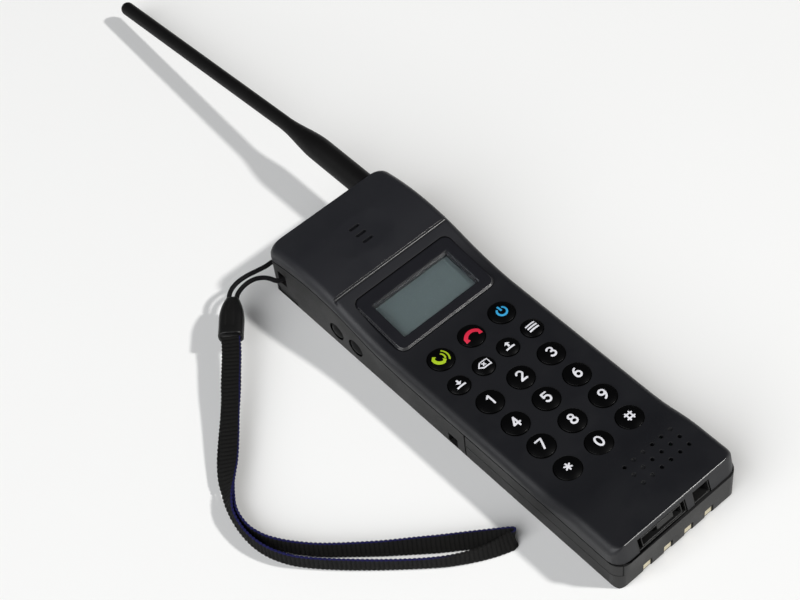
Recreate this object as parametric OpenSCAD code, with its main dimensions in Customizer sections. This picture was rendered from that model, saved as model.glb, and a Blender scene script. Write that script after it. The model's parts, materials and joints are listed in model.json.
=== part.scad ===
// Brick cell phone with a whip antenna and a wrist strap, lying on its back.
// Millimetres. +Z is out of the back towards the keys and +Y points to the earpiece.
// The origin is on the back, under the middle of the body.

/* [Body] */
// Width of the body
body_w = 54; // [54:0.5:60]
// Length of the body from the lower end to the upper end
body_l = 172; // [170:1:184]
// Corner radius at the lower end, seen from the front
corner_r = 5; // [3:0.5:7]
// Corner radius at the upper end, seen from the front
top_corner_r = 3; // [2.5:0.5:4]
// Radius of the long shoulders of the front
shoulder_r = 3.2; // [2:0.2:3.6]
// Radius of the edges of the back
back_r = 2.4; // [1:0.2:3.4]
// Thickness of the moulded walls
wall = 1.5; // [1.2:0.1:1.8]
// Open seam between the two halves of the casing
seam = 0.4; // [0.3:0.05:0.5]

/* [Front form] */
// Height of the earpiece crest above the keypad face
crest_h = 7.4; // [6:0.2:9]
// Distance of the crest from the upper end
crest_from_end = 20.5; // [18:0.5:23]
// Length of the slope from the keypad face up to the crest
slope_l = 50.5; // [46:0.5:52]
// Height of the chin above the keypad face
chin_h = 2.6; // [1.6:0.2:4]
// Length of the chin's flat top
chin_l = 16.5; // [12:0.5:18]
// Length of the rise from the keypad face to the chin
chin_rise_l = 22; // [16:0.5:23]
// Lean of the lower end face of the front
chin_lean = 2.2; // [0.6:0.2:3]
// Radius of the edge between the chin's top and the lower end face
edge_r = 0.5; // [0.3:0.1:1]
// Step of the front's lower end behind the battery's end
end_step = 0.5; // [0.2:0.1:1]
// Drop from the keypad face to the straight part of the seam
seam_drop = 4.3; // [4.2:0.1:4.6]
// Height of the seam's crest above its straight part
seam_crest_h = 6.9; // [5:0.2:8]
// Distance of the seam's crest from the upper end
seam_crest_from_end = 24.5; // [22:0.5:27]
// Distance of the brow groove from the upper end
brow_from_end = 36; // [34:0.5:37]
// Width and depth of the brow groove
brow_groove = 0.6; // [0.4:0.1:0.8]
// Width of the ledge above the brow groove
brow_ledge = 0.7; // [0.4:0.1:1]

/* [Keypad] */
// Distance of the first key row from the upper end
first_row_from_end = 76.2; // [75.5:0.1:78]
// Distance of the last key row from the lower end
last_row_from_end = 35.8; // [35:0.1:37]
// Distance of the outer key columns from the side walls
col_inset = 13.2; // [12.6:0.1:14]
// Distance of the outer small keys from the side walls
small_inset = 10.5; // [10:0.1:11.5]
// Least space between the dialling keys
key_space = 2.8; // [2.2:0.1:3.4]
// Diameter of a small key as a share of a dialling key's
small_share = 0.82; // [0.74:0.01:0.86]
// Height of a key's crown above the face
key_proud = 1.3; // [0.8:0.1:2]
// Height of a key's straight side above the face
key_side = 0.4; // [0.2:0.1:0.7]
// Clearance round a key
key_gap = 0.2; // [0.15:0.05:0.25]
// Reach of the flange under the face
flange_reach = 0.35; // [0.3:0.05:0.4]
// Travel of the keys
key_travel = 0.6; // [0.3:0.1:0.8]

/* [Display] */
// Distance of the raised bezel from the side walls
bezel_inset = 5.5; // [5:0.1:7]
// Length of the raised bezel along its slope
bezel_l = 26; // [24:0.5:27]
// Thickness of the bezel
bezel_t = 3.6; // [3.4:0.1:4.2]
// Corner radius of the bezel
bezel_r = 3; // [1:0.5:4]
// Width and height of the step round the bezel's face
bezel_edge = 0.5; // [0.3:0.1:0.7]
// Slope of the bezel's face
bezel_tilt = 8; // [6:0.5:10]
// Distance of the bezel's upper edge from the upper end
bezel_from_end = 40; // [39:0.5:41]
// Width of the bezel's frame beside the opening
view_inset = 4.5; // [4:0.1:7]
// Length of the display opening
view_l = 16.6; // [14:0.2:17]
// Depth of the display glass below the bezel's face
view_depth = 2.8; // [2.4:0.1:3]
// Shift of the display opening towards the keypad
view_shift = 0.6; // [0:0.1:1.5]
// Thickness of the clear lens
lens_t = 1; // [0.6:0.1:1.2]
// Depth of the lens below the bezel's face
lens_depth = 0.3; // [0.1:0.1:0.6]
// Ledge that carries the lens
lens_ledge = 0.5; // [0.4:0.1:1]
// Thickness of the display glass
glass_t = 1.6; // [1.2:0.1:2]
// Border of the display glass round the opening
glass_border = 2; // [1:0.2:2.2]

/* [Ear and mouth] */
// Distance of the earpiece from the upper end
ear_from_end = 20; // [18:0.5:22]
// Radius of the ear dish
dish_r = 14.5; // [12:0.5:16]
// Depth of the ear dish
dish_depth = 0.9; // [0.4:0.1:1.1]
// Length of an ear slot
ear_slot_l = 4.4; // [3:0.2:8]
// Width of an ear slot
ear_slot_w = 1.1; // [0.8:0.1:1.6]
// Distance between ear slots
ear_slot_pitch = 3.7; // [3:0.1:4.5]
// Diameter of the earpiece speaker
speaker_d = 24; // [20:0.5:26]
// Height of the earpiece speaker
speaker_h = 4.4; // [3:0.2:5]
// Thickness of the seat behind the ear dish
ear_seat = 1.6; // [1.2:0.1:2]
// Thickness of the foam ring on the speaker
gasket_t = 0.8; // [0.5:0.1:1.2]
// Distance between the microphone holes
mic_pitch = 4.1; // [3.4:0.1:4.4]
// Diameter of a microphone hole
mic_hole_d = 1.4; // [1:0.1:1.8]
// Shift of the microphone holes to the right
mic_shift = 8.4; // [4:0.2:9]
// Distance of the middle microphone row from the lower end
mic_from_end = 18.6; // [17:0.2:20]
// Diameter of the microphone
mic_d = 6; // [4:0.2:7]
// Height of the microphone
mic_h = 2.6; // [2:0.1:3]

/* [Antenna] */
// Distance of the antenna's axis from the right wall
antenna_inset = 8.6; // [8.4:0.2:11]
// Height of the antenna's axis below the crest
antenna_drop = 7.5; // [7.2:0.1:8.4]
// Diameter of the thick base
base_d = 9.3; // [8:0.1:10]
// Length of the thick base
base_l = 25; // [18:0.5:32]
// Length of the taper from the base to the rod
taper_l = 22; // [14:0.5:28]
// Diameter of the rod
rod_d = 5.4; // [4:0.1:6]
// Length of the rod
rod_l = 106; // [80:1:120]
// Droop of the rod from the base's axis
rod_droop = 5.3; // [0:0.1:7]
// Diameter of the threaded stud
stud_d = 3.9; // [3:0.1:4.4]
// Length of the stud in its bush
stud_l = 7.5; // [5:0.5:9]
// Clearance of the stud in its bush
stud_gap = 0.05; // [0.02:0.01:0.1]

/* [Side keys] */
// Length of the shallow recess near the upper end
recess_l = 10.5; // [6:0.5:14]
// Height of the shallow recess
recess_h = 3; // [2:0.1:4]
// Height of the recess above the back
recess_z = 2; // [1.6:0.1:3]
// Distance of the recess from the upper end
recess_from_end = 3.2; // [3:0.1:5]
// Depth of the recess
recess_depth = 0.4; // [0.2:0.1:0.7]
// Distance of the upper side key from the upper end
side_key_from_end = 36; // [34.5:0.5:38]
// Distance between the side keys
side_key_pitch = 10.1; // [9.2:0.1:11]
// Height of the side keys above the back
side_key_z = 8.4; // [7.4:0.1:9]
// Diameter of a side key
side_key_d = 6.4; // [5:0.1:6.8]
// Height of a side key's crown above the wall
side_proud = 0.4; // [0.2:0.1:0.6]
// Travel of the side keys
side_travel = 0.5; // [0.3:0.1:0.8]

/* [Battery] */
// Length of the battery pack
pack_l = 70.5; // [66:0.5:74]
// Thickness of the pack's back
pack_wall = 1.4; // [1:0.1:1.8]
// Height of the seam between the pack's halves
pack_seam_z = 8; // [7:0.1:9]
// Reach of the pack's side bands round the lower corners
band_wrap = 2.5; // [2:0.1:4]
// Diameter of a battery cell
cell_d = 10.4; // [9.8:0.1:11]
// Distance of the battery cells from the side walls
cell_inset = 5; // [4.9:0.1:7]
// Thickness of the pack's lid
lid_t = 0.8; // [0.6:0.1:1]
// Thickness of the rails and of the lips that hold the pack
rail_t = 0.8; // [0.6:0.1:0.9]
// Distance between the charge contacts
contact_pitch = 9.2; // [7:0.1:10]
// Width of a charge contact
contact_w = 3.4; // [2.6:0.1:4]
// Height of a charge contact
contact_h = 2.2; // [1.6:0.1:3]
// Height of the charge contacts above the back
contact_z = 3.2; // [2:0.1:4]
// Shift of the charge contacts to the left
contact_shift = 0.8; // [0:0.1:2]
// Thickness of the contact plates
contact_t = 0.4; // [0.3:0.1:0.5]
// Depth of a charge contact below the pack's end
contact_depth = 0.4; // [0.2:0.1:0.6]

/* [Latch] */
// Distance of the latch window from the battery seam
latch_from_seam = 6.1; // [5:0.1:8]
// Side of the square latch window
latch_window = 4.3; // [3.6:0.1:5]
// Height of the latch window's middle above the back
latch_z = 4.6; // [4.2:0.1:5.4]
// Length of the latch into the body
latch_l = 7; // [6:0.5:9]
// Depth of the latch behind the wall's face
latch_depth = 1.4; // [1:0.1:1.8]
// Travel of the latch
latch_travel = 1.5; // [0.8:0.1:2]

/* [Sockets] */
// Width of the accessory connector
plug_w = 21; // [18:0.5:22]
// Shift of the accessory connector to the left
plug_shift = 7; // [6:0.2:8]
// Height of the accessory connector
plug_h = 5; // [4.4:0.1:5.1]
// Width of the connector's slot
slot_w = 16.8; // [14:0.2:17]
// Height of the connector's slot
slot_h = 2.9; // [2.2:0.1:3]
// Width of the tongue in the connector's slot
tongue_w = 7; // [4:0.2:9]
// Shift of the tongue from the middle of the slot to the right
tongue_shift = 1.6; // [0:0.1:2]
// Width of the rims and of the groove round the connector's slot
plug_rim = 0.35; // [0.25:0.05:0.4]
// Width of the power jack
jack_w = 7.2; // [6.4:0.1:7.6]
// Shift of the power jack to the right
jack_shift = 10.4; // [9.8:0.1:11.4]
// Height of the power jack
jack_h = 4.9; // [4.2:0.1:5]
// Thickness of the power jack's walls
jack_lip = 0.4; // [0.3:0.1:0.7]
// Diameter of the pin in the power jack
jack_pin_d = 1.6; // [1.2:0.1:2]
// Depth of the sockets' faces behind the lower end face
socket_sink = 0.3; // [0.2:0.1:0.6]
// Depth of both sockets
socket_depth = 6; // [4:0.2:6.4]

/* [Boards and screws] */
// Thickness of the circuit boards
board_t = 1; // [0.8:0.1:1.2]
// Thickness of the keypad membrane
membrane_t = 0.3; // [0.2:0.05:0.4]
// Thickness of the tray above the battery
tray_t = 0.9; // [0.8:0.1:1.2]
// Height of the main board above the back
main_board_z = 10; // [9:0.2:11]
// Rim of the keypad board round the microphone and the keys
board_rim = 2; // [1.6:0.1:2.4]
// Width of the connector between the boards
link_w = 16; // [10:1:20]
// Length of the connector between the boards
link_l = 4; // [3:0.5:5]
// Distance of that connector from the keypad board's upper end
link_from_end = 12; // [8:0.5:13]
// Distance of the shield from the main board's long edges
shield_inset = 8; // [7.8:0.1:12]
// Distance of the shield from the crest
shield_from_crest = 20; // [16:0.5:30]
// Thickness of the shield's sheet
shield_t = 0.4; // [0.3:0.1:0.6]
// Height of the shield under the main board
shield_h = 6; // [4:0.2:6.8]
// Radius of a screw's shank
screw_r = 0.95; // [0.8:0.05:1]
// Radius of a screw's head
screw_head_r = 1.9; // [1.6:0.1:2]
// Height of a screw's head
screw_head_h = 1.1; // [0.9:0.1:1.2]
// Radius of the screw bosses
boss_r = 2.6; // [2.4:0.1:2.8]
// Extra radius of the long screw posts
post_extra = 0.4; // [0.2:0.1:0.6]
// Distance of the screws from the side walls
screw_inset = 6; // [5.6:0.1:6.4]
// Distance of the upper screws from the upper end
screw_from_top = 26; // [25:0.5:28]
// Distance of the lower screws from the chin's flat top
screw_from_chin = 10.5; // [9.5:0.1:11]
// Depth of the upper screws' seats from the back
screw_seat_z = 8.5; // [6:0.1:9]

/* [Fits] */
// Clearance between pieces that slide past each other
slide_gap = 0.3; // [0.3:0.05:0.4]
// Clearance between pieces that rest against each other
rest_gap = 0.1; // [0.05:0.05:0.15]
// Thickness of the flanges on keys
flange_t = 0.6; // [0.5:0.1:0.8]

/* [Strap] */
// Width of the tunnel behind the strap post
eyelet_w = 4; // [3.4:0.1:4.4]
// Height of the strap tunnel
eyelet_h = 5.6; // [4:0.1:6]
// Height of the tunnel's floor above the back
eyelet_z = 8.6; // [8:0.1:9]
// Width of the strap post across the body
post_w = 3.4; // [3:0.1:4]
// Length of the strap post along the body
post_l = 4.6; // [4:0.1:5]
// Diameter of the thin cord
cord_d = 2.2; // [1.6:0.1:2.4]
// Width of the webbing
web_w = 6.6; // [5:0.1:6.8]
// Thickness of the webbing
web_t = 0.8; // [0.6:0.1:0.9]
// Length of the strap cap
cap_l = 17; // [15:0.5:18]
// Width of the strap cap
cap_w = 8.8; // [8.4:0.1:10]
// Thickness of the strap cap
cap_t = 6.4; // [5:0.1:7]
// Radius of the tapering sides of the strap cap
cap_arch = 20; // [18:0.5:24]

/* [Hidden] */
$fn = 48;
eps = 0.01;
// How far the cuts run past the faces they open
over = wall;

// Heights from the back up through the battery, the tray and the keypad to the face
cell_z = pack_wall + rest_gap + cell_d / 2;
lid_z = pack_wall + cell_d + 2 * rest_gap;
lid_top = lid_z + lid_t;
tray_z = lid_top + slide_gap;
tray_top = tray_z + tray_t;
board_top = tray_top + board_t;
membrane_top = board_top + membrane_t;
flange_z = membrane_top + rest_gap + key_travel;
face_in = flange_z + flange_t + rest_gap;
face_z = face_in + wall;
crest_z = face_z + crest_h;
chin_z = face_z + chin_h;
seam_z = face_z - seam_drop;
above_all = 1.4 * crest_z;

// Stations along the body
y_top = body_l / 2;
y_bot = -body_l / 2;
front_end = y_bot + end_step;
seam_y = y_bot + pack_l;
crest_y = y_top - crest_from_end;
slope_y = crest_y - slope_l;
chin_y = y_bot + chin_l;
chin_rise_y = chin_y + chin_rise_l;
seam_crest_y = y_top - seam_crest_from_end;
seam_slope_y = seam_crest_y - slope_l;
ear_y = y_top - ear_from_end;
mic_y = y_bot + mic_from_end;
key_y = y_bot + last_row_from_end;
row_pitch = (body_l - first_row_from_end - last_row_from_end) / 5;
brow_y = y_top - brow_from_end;
tub_y = seam_y + seam / 2;
tub_in_y = tub_y + wall;
main_low_y = tub_in_y + wall;
pack_y = seam_y - seam / 2;

// Half widths
half_body = body_w / 2;
in_half = half_body - wall;
col_pitch = half_body - col_inset;
small_pitch = (half_body - small_inset) * 2 / 3;
key_d = min(row_pitch, col_pitch) - key_space;
small_key_d = key_d * small_share;
bezel_w = body_w - 2 * bezel_inset;
view_w = bezel_w - 2 * view_inset;
cell_l = body_w - 2 * cell_inset;
pack_end_half = half_body - band_wrap;
lid_half = cell_l / 2 + slide_gap;
web_in = lid_half + lid_t + slide_gap;
web_out = web_in + tray_t;
lip_in = web_out + slide_gap;
rail_out = in_half - slide_gap;
side_flange_x = in_half - rest_gap;
side_board_x = side_flange_x - flange_t - side_travel - rest_gap;
main_half = side_board_x - board_t - 2 * rest_gap;

// Heights of the rails that hold the battery pack
lip_top = seam_z - seam / 2;
lip_z = lip_top - rail_t;
rail_top = lip_z - slide_gap;
rail_z = rail_top - rail_t;
ledge_top = rail_z - slide_gap;
ledge_z = ledge_top - lid_t;

// Places of the screws: the upper pair is in long posts, the lower pair is in the tray
screw_x = half_body - screw_inset;
screw_top_y = y_top - screw_from_top;
screw_low_y = chin_y + screw_from_chin;
post_r = boss_r + post_extra;
post_top = tray_z;
screw_top_z = face_in;
tray_boss_top = board_top;

// Posts under the main board
post_inset = 11;
board_post_r = 2;

// Axis of the antenna
antenna_x = half_body - antenna_inset;
antenna_z = crest_z - antenna_drop;
bush_r = 3;
bush_flange_r = 3.5;
bush_floor = 1;

// The share of the slope that is its lower, hollow arc
slope_share = 0.566;
chin_share = 0.5;

// Steps of the curved stretches
slope_steps = 14;
crest_steps = 4;
chin_steps = 7;
corner_steps = 4;
shoulder_steps = 5;

// Two tangent arcs that climb by h over a length d, the lower one over the share k
function arc_step(t, d, h, k) =
  let (s = (d * d + h * h) / (2 * h))
  t < k * d
    ? k * s - sqrt(k * k * s * s - t * t)
    : h - (1 - k) * s + sqrt(pow((1 - k) * s, 2) - pow(d - t, 2));
function arc_drop(t, d, h, k) =
  let (r = (1 - k) * (d * d + h * h) / (2 * h))
  r - sqrt(r * r - t * t);
function top_z(y) =
  y > crest_y ? crest_z - arc_drop(y - crest_y, slope_l, crest_h, slope_share) :
  y > slope_y ? face_z + arc_step(y - slope_y, slope_l, crest_h, slope_share) :
  y > chin_rise_y ? face_z :
  y > chin_y ? face_z + arc_step(chin_rise_y - y, chin_rise_l, chin_h, chin_share) :
  chin_z;
function part_z(y) =
  y > seam_crest_y
    ? seam_z + seam_crest_h - arc_drop(y - seam_crest_y, slope_l, seam_crest_h, slope_share) :
  y > seam_slope_y ? seam_z + arc_step(y - seam_slope_y, slope_l, seam_crest_h, slope_share) :
  seam_z;
function corner_in(d, r) = d < r ? r - sqrt(r * r - pow(r - d, 2)) : 0;
function half_w(y) =
  half_body - max(corner_in(y_top - y, top_corner_r), corner_in(y - front_end, corner_r));
function end_share(y) = max(0, 1 - (y - front_end) / corner_r);
function lean(y) = chin_lean * end_share(y);
function shoulder(y) = shoulder_r - (shoulder_r - edge_r) * end_share(y);
function steps(a, b, n) = [for (i = [0 : n - 1]) a + (b - a) * i / n];
stations = concat(
  [for (i = [0 : corner_steps]) front_end + corner_r * (1 - cos(90 * i / corner_steps))],
  steps(chin_y, chin_rise_y, chin_steps),
  [chin_rise_y],
  [seam_slope_y],
  steps(slope_y, crest_y, slope_steps),
  steps(crest_y, y_top - top_corner_r, crest_steps),
  [for (i = [corner_steps : -1 : 0]) y_top - top_corner_r * (1 - cos(90 * i / corner_steps))]
);

// Keys: name, column offset, row counted up from the last row, diameter
key_table = [
  ["key_send", -col_pitch, 5, key_d],
  ["key_end", 0, 5, key_d],
  ["key_power", col_pitch, 5, key_d],
  ["key_store", -1.5 * small_pitch, 4, small_key_d],
  ["key_clear", -0.5 * small_pitch, 4, small_key_d],
  ["key_recall", 0.5 * small_pitch, 4, small_key_d],
  ["key_function", 1.5 * small_pitch, 4, small_key_d],
  ["key_1", -col_pitch, 3, key_d],
  ["key_2", 0, 3, key_d],
  ["key_3", col_pitch, 3, key_d],
  ["key_4", -col_pitch, 2, key_d],
  ["key_5", 0, 2, key_d],
  ["key_6", col_pitch, 2, key_d],
  ["key_7", -col_pitch, 1, key_d],
  ["key_8", 0, 1, key_d],
  ["key_9", col_pitch, 1, key_d],
  ["key_star", -col_pitch, 0, key_d],
  ["key_0", 0, 0, key_d],
  ["key_hash", col_pitch, 0, key_d],
];

// Microphone holes that are open, as a map of rows from the keypad side down
mic_open = [[1, 0, 0, 1, 1, 0], [0, 0, 1, 1, 1, 1], [0, 0, 1, 1, 1, 1]];

// Wrist strap: where the cap lies, and which way its nose points
cap_place = [-49.8, 79.8, 9.7];
cap_turn = -40.2;
nose = [sin(-cap_turn), cos(-cap_turn), 0];
function cap_point(x, y) = cap_place + x * [cos(cap_turn), sin(cap_turn), 0] + y * nose;
// Route of the thin cord, out of the cap, round the strap post and back into the cap
cord_side = 1.4;
cord_middle = [
  [-43.6, 88.8, 9.9], [-41.4, 89.9, 10.2], [-38.4, 90.3, 10.6], [-34.8, 90, 10.9], [-31, 89, 11.2],
  [-27.6, 88.2, 11.4], [-24.6, 88, 11.5], [-22.3, 86.9, 11.5], [-21.6, 84.4, 11.4], [-21.9, 81.2, 11.4],
  [-23.6, 79.5, 11.4], [-26.2, 79.1, 11.4], [-28.7, 80.2, 11.3], [-29.8, 82.7, 11.2], [-31.2, 84.9, 11.1],
  [-33.5, 86.6, 11], [-36.4, 87.4, 10.7], [-39.3, 87.3, 10.3], [-41.7, 86.6, 9.9],
];
cord_route = concat(
  [cap_point(-cord_side, cap_l / 2)],
  cord_middle,
  [cap_point(cord_side, cap_l / 2)]
);
// Routes of the webbing's two runs from the cap to the end of the loop: x, y, z and roll of the face.
// The near run leaves the cap on top and the far run below it, and the fold joins their ends.
web_near = [
  [-58.8, 68.5, 10, 0], [-63, 63.4, 9.6, 0], [-67.1, 58.6, 9.1, 2], [-71, 53.7, 8.5, 4], [-75.9, 48, 7.6, 6],
  [-80.7, 42.2, 6.9, 8], [-85.6, 36.5, 6.2, 14], [-90.4, 31.3, 5.7, 30], [-94.6, 25.9, 5, 58],
  [-97.6, 19.7, 4.2, 80], [-98.9, 12.4, 3.6, 87], [-98.6, 5.4, 3.5, 88], [-96.7, -1.2, 3.5, 89],
  [-93.4, -7.4, 3.6, 90], [-88.4, -13.6, 3.6, 90], [-82, -20.4, 3.6, 90], [-74.7, -27.5, 3.5, 92],
  [-66.7, -34.8, 3.5, 93], [-59.2, -41, 3.6, 90], [-52.2, -45.3, 3.5, 84], [-45.6, -48.2, 3.4, 72],
  [-39.4, -49.7, 2.9, 52],
];
web_far = [
  [-58.8, 68.5, 8.8, 0], [-63, 63.4, 8.4, 0], [-66.9, 58.6, 7.9, 2], [-71, 53.9, 7.3, 4], [-76.1, 48.4, 6.4, 6],
  [-81.3, 43, 5.5, 8], [-86.4, 37.5, 4.6, 14], [-90.8, 31.7, 3.9, 30], [-94, 25.7, 3.6, 58],
  [-96.4, 19.3, 3.8, 80], [-97.1, 12.4, 3.6, 87], [-95.8, 5.9, 3.5, 86], [-92.6, -0.3, 3.5, 84],
  [-88.3, -6.2, 3.5, 82], [-83.6, -11.4, 3.5, 80], [-77, -17.5, 3.5, 78], [-69.8, -23.8, 3.4, 73],
  [-62.1, -29.9, 3.2, 65], [-55.8, -34.9, 3.1, 60], [-49.3, -39.7, 3, 58], [-43.4, -44.2, 3, 55],
  [-37.7, -48.5, 2.7, 48],
];
layer_gap = 0.45;
layer_step = (web_t + layer_gap) / 2;
function web_run(rows, lift) = concat([concat(cap_point(0, -cap_l / 2) + [0, 0, lift], [0])], rows);
near_run = web_run(web_near, layer_step);
far_run = web_run(web_far, -layer_step);
fold_steps = 6;
cord_sides = 8;

// Helpers for profiles drawn across the body, along the body and from the front
module extrude_y(y0, y1) {
  translate([0, y1, 0]) rotate([90, 0, 0]) linear_extrude(y1 - y0) children();
}
module extrude_x(x0, x1) {
  translate([x0, 0, 0]) rotate([90, 0, 90]) linear_extrude(x1 - x0) children();
}
module block(low, high) {
  translate(low) cube(high - low);
}
module bar_y(r, y0, y1) {
  translate([0, y1, 0]) rotate([90, 0, 0]) cylinder(r = r, h = y1 - y0);
}
module round_rect(w, l, r) {
  square([w - 2 * r, l], center = true);
  square([w, l - 2 * r], center = true);
  for (x = [-1, 1], y = [-1, 1])
    translate([x * (w / 2 - r), y * (l / 2 - r)]) circle(r);
}

// A closed skin over rings of points
module skin(rings) {
  n = len(rings);
  m = len(rings[0]);
  walls = [for (i = [0 : n - 2], j = [0 : m - 1])
    let (a = i * m + j, d = i * m + (j + 1) % m) each [[a, d, d + m], [a, d + m, a + m]]];
  caps = [[for (j = [m - 1 : -1 : 0]) j], [for (j = [0 : m - 1]) (n - 1) * m + j]];
  polyhedron([for (r = rings) each r], concat(walls, caps), convexity = 6);
}

// Outline of the body from the front, drawn in by an inset
module plan(inset) {
  low = [half_body - corner_r, y_bot + corner_r];
  high = [half_body - top_corner_r, y_top - top_corner_r];
  translate([-half_body + inset, low[1]]) square([body_w - 2 * inset, high[1] - low[1]]);
  translate([-low[0], y_bot + inset]) square([2 * low[0], body_l / 2]);
  translate([-high[0], 0]) square([2 * high[0], y_top - inset]);
  for (x = [-1, 1]) {
    translate([x * low[0], low[1]]) circle(corner_r - inset);
    translate([x * high[0], high[1]]) circle(top_corner_r - inset);
  }
}
// Cross-section of the back with its round edges
module back_section() {
  translate([-half_body, back_r]) square([body_w, above_all]);
  translate([-half_body + back_r, 0]) square([body_w - 2 * back_r, above_all]);
  for (x = [-1, 1])
    translate([x * (half_body - back_r), back_r]) circle(back_r);
}
// Side view of the back with its round ends
module back_side() {
  translate([y_bot, back_r]) square([body_l, above_all]);
  translate([y_bot + back_r, 0]) square([body_l - 2 * back_r, above_all]);
  for (y = [y_bot + back_r, y_top - back_r])
    translate([y, back_r]) circle(back_r);
}
module back_form() {
  intersection() {
    extrude_y(y_bot, y_top) back_section();
    linear_extrude(above_all) plan(0);
    extrude_x(-half_body, half_body) back_side();
  }
}

// Front half: a lofted skin whose shoulders follow the crest and the chin
function front_ring(y) =
  let (
    w = half_w(y),
    low = part_z(y) + seam / 2,
    high = top_z(y),
    r = shoulder(y),
    arc = [for (i = [0 : shoulder_steps])
      let (a = 90 * i / shoulder_steps) [w - r + r * cos(a), high - r + r * sin(a)]],
    side = concat([[w, low]], arc),
    flat = concat(side, [for (i = [len(side) - 1 : -1 : 0]) [-side[i][0], side[i][1]]])
  )
  [for (p = flat) [p[0], y + lean(y) * (p[1] - low) / (high - low), p[1]]];
module front_space() {
  inner = [for (y = stations) [y, top_z(y) - wall]];
  first = front_end + chin_lean + wall;
  intersection() {
    linear_extrude(above_all) plan(wall);
    extrude_x(-half_body, half_body) intersection() {
      polygon(concat([[y_bot, 0]], [[y_bot, inner[0][1]]], inner, [[y_top, 0]]));
      translate([first, 0]) square([y_top - wall - first, above_all]);
    }
  }
}
module at_screws() {
  for (x = [-1, 1], y = [screw_top_y, screw_low_y])
    translate([x * screw_x, y, 0]) children();
}
module front_bosses() {
  for (x = [-1, 1]) {
    translate([x * screw_x, screw_top_y, post_top + rest_gap])
      cylinder(r = boss_r, h = top_z(screw_top_y) - wall / 2 - post_top - rest_gap);
    translate([x * screw_x, screw_low_y, tray_boss_top + rest_gap])
      cylinder(r = boss_r, h = top_z(screw_low_y) - wall / 2 - tray_boss_top - rest_gap);
  }
}
module ear_slot(h) {
  for (i = [-1, 1])
    translate([i * (ear_slot_l - ear_slot_w) / 2, 0, 0]) cylinder(d = ear_slot_w, h = h);
  translate([0, 0, h / 2]) cube([ear_slot_l - ear_slot_w, ear_slot_w, h], center = true);
}
module ear_cuts() {
  ball = (dish_r * dish_r + dish_depth * dish_depth) / (2 * dish_depth);
  translate([0, ear_y, crest_z - dish_depth + ball]) sphere(ball, $fn = 96);
  for (i = [-1 : 1])
    translate([0, ear_y + i * ear_slot_pitch, crest_z - wall - ear_seat - over])
      ear_slot(wall + ear_seat + 2 * over);
}
module mic_cuts() {
  for (row = [0 : 2], col = [0 : 5]) {
    y = mic_y + (1 - row) * mic_pitch;
    deep = mic_open[row][col] == 1 ? 2 * wall : wall / 3;
    translate([mic_shift + (col - 2.5) * mic_pitch, y, top_z(y) - deep])
      cylinder(d = mic_hole_d, h = deep + over, $fn = 16);
  }
}
module socket_cuts() {
  block([-plug_shift - plug_w / 2 - rest_gap, y_bot - over, seam_z - over],
    [-plug_shift + plug_w / 2 + rest_gap, chin_y, tray_top + plug_h + rest_gap]);
  block([jack_shift - jack_w / 2 - rest_gap, y_bot - over, seam_z - over],
    [jack_shift + jack_w / 2 + rest_gap, chin_y, tray_top + jack_h + rest_gap]);
}
module antenna_hole() {
  translate([antenna_x, 0, antenna_z]) bar_y(bush_r + rest_gap, y_top - wall - over, y_top + over);
}
// The bezel's frame: its face is the plane z = 0, its upper edge is at y = 0
module on_bezel() {
  y = y_top - bezel_from_end;
  translate([0, y, top_z(y)]) rotate([bezel_tilt, 0, 0]) children();
}
module bezel_outline(grow) {
  translate([0, -bezel_l / 2]) round_rect(bezel_w + 2 * grow, bezel_l + 2 * grow, bezel_r + grow);
}
// A groove under the brow with a shallow ledge above it
module brow_cuts() {
  low = brow_y - brow_groove / 2;
  high = low + brow_groove;
  block([-half_body, low, top_z(brow_y) - brow_groove], [half_body, high, above_all]);
  block([-half_body, high - eps, top_z(brow_y) - brow_groove / 3], [half_body, high + brow_ledge, above_all]);
}
module front_shell() {
  color("#2c2d31") difference() {
    union() {
      difference() {
        skin([for (y = stations) front_ring(y)]);
        front_space();
      }
      translate([0, ear_y, crest_z - wall - ear_seat])
        cylinder(d = speaker_d, h = ear_seat + wall / 2 - dish_depth / 2);
      front_bosses();
    }
    for (k = key_table)
      translate([k[1], key_y + k[2] * row_pitch, face_in - over])
        cylinder(d = k[3] + 2 * key_gap, h = wall + 2 * over);
    on_bezel() translate([0, 0, -bezel_t - wall])
      linear_extrude(bezel_t + wall + above_all - crest_z) bezel_outline(rest_gap);
    ear_cuts();
    mic_cuts();
    socket_cuts();
    antenna_hole();
    brow_cuts();
    at_screws() translate([0, 0, tray_z])
      cylinder(r = screw_r + stud_gap, h = screw_top_z - tray_z + rest_gap);
  }
}

// Rear half: a tub for the boards and a tray with rails over the battery
module tray_section() {
  translate([-web_out, tray_z]) square([2 * web_out, tray_t]);
  for (x = [-1, 1]) {
    translate([x * (web_in + web_out) / 2 - tray_t / 2, rail_z]) square([tray_t, tray_top - rail_z]);
    translate([x * (web_in + rail_out) / 2 - (rail_out - web_in) / 2, rail_z])
      square([rail_out - web_in, rail_t]);
  }
}
module tub_space() {
  intersection() {
    translate([0, 0, wall]) linear_extrude(above_all) plan(wall);
    block([-body_w, tub_in_y, 0], [body_w, y_top, above_all]);
  }
}
module side_key_window(grow) {
  for (i = [0, 1])
    translate([-half_body - over, y_top - side_key_from_end - i * side_key_pitch, side_key_z])
      rotate([0, 90, 0]) cylinder(d = side_key_d + 2 * grow, h = wall + 2 * over);
}
module side_recess() {
  block([-half_body - over, y_top - recess_l - recess_from_end, recess_z],
    [-half_body + recess_depth, y_top - recess_from_end, recess_z + recess_h]);
}
module eyelet_block() {
  intersection() {
    linear_extrude(above_all) plan(0);
    block([-half_body, y_top - post_l - eyelet_w - wall, eyelet_z - wall],
      [-half_body + post_w + eyelet_w + wall, y_top, eyelet_z + eyelet_h + wall]);
  }
}
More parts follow.
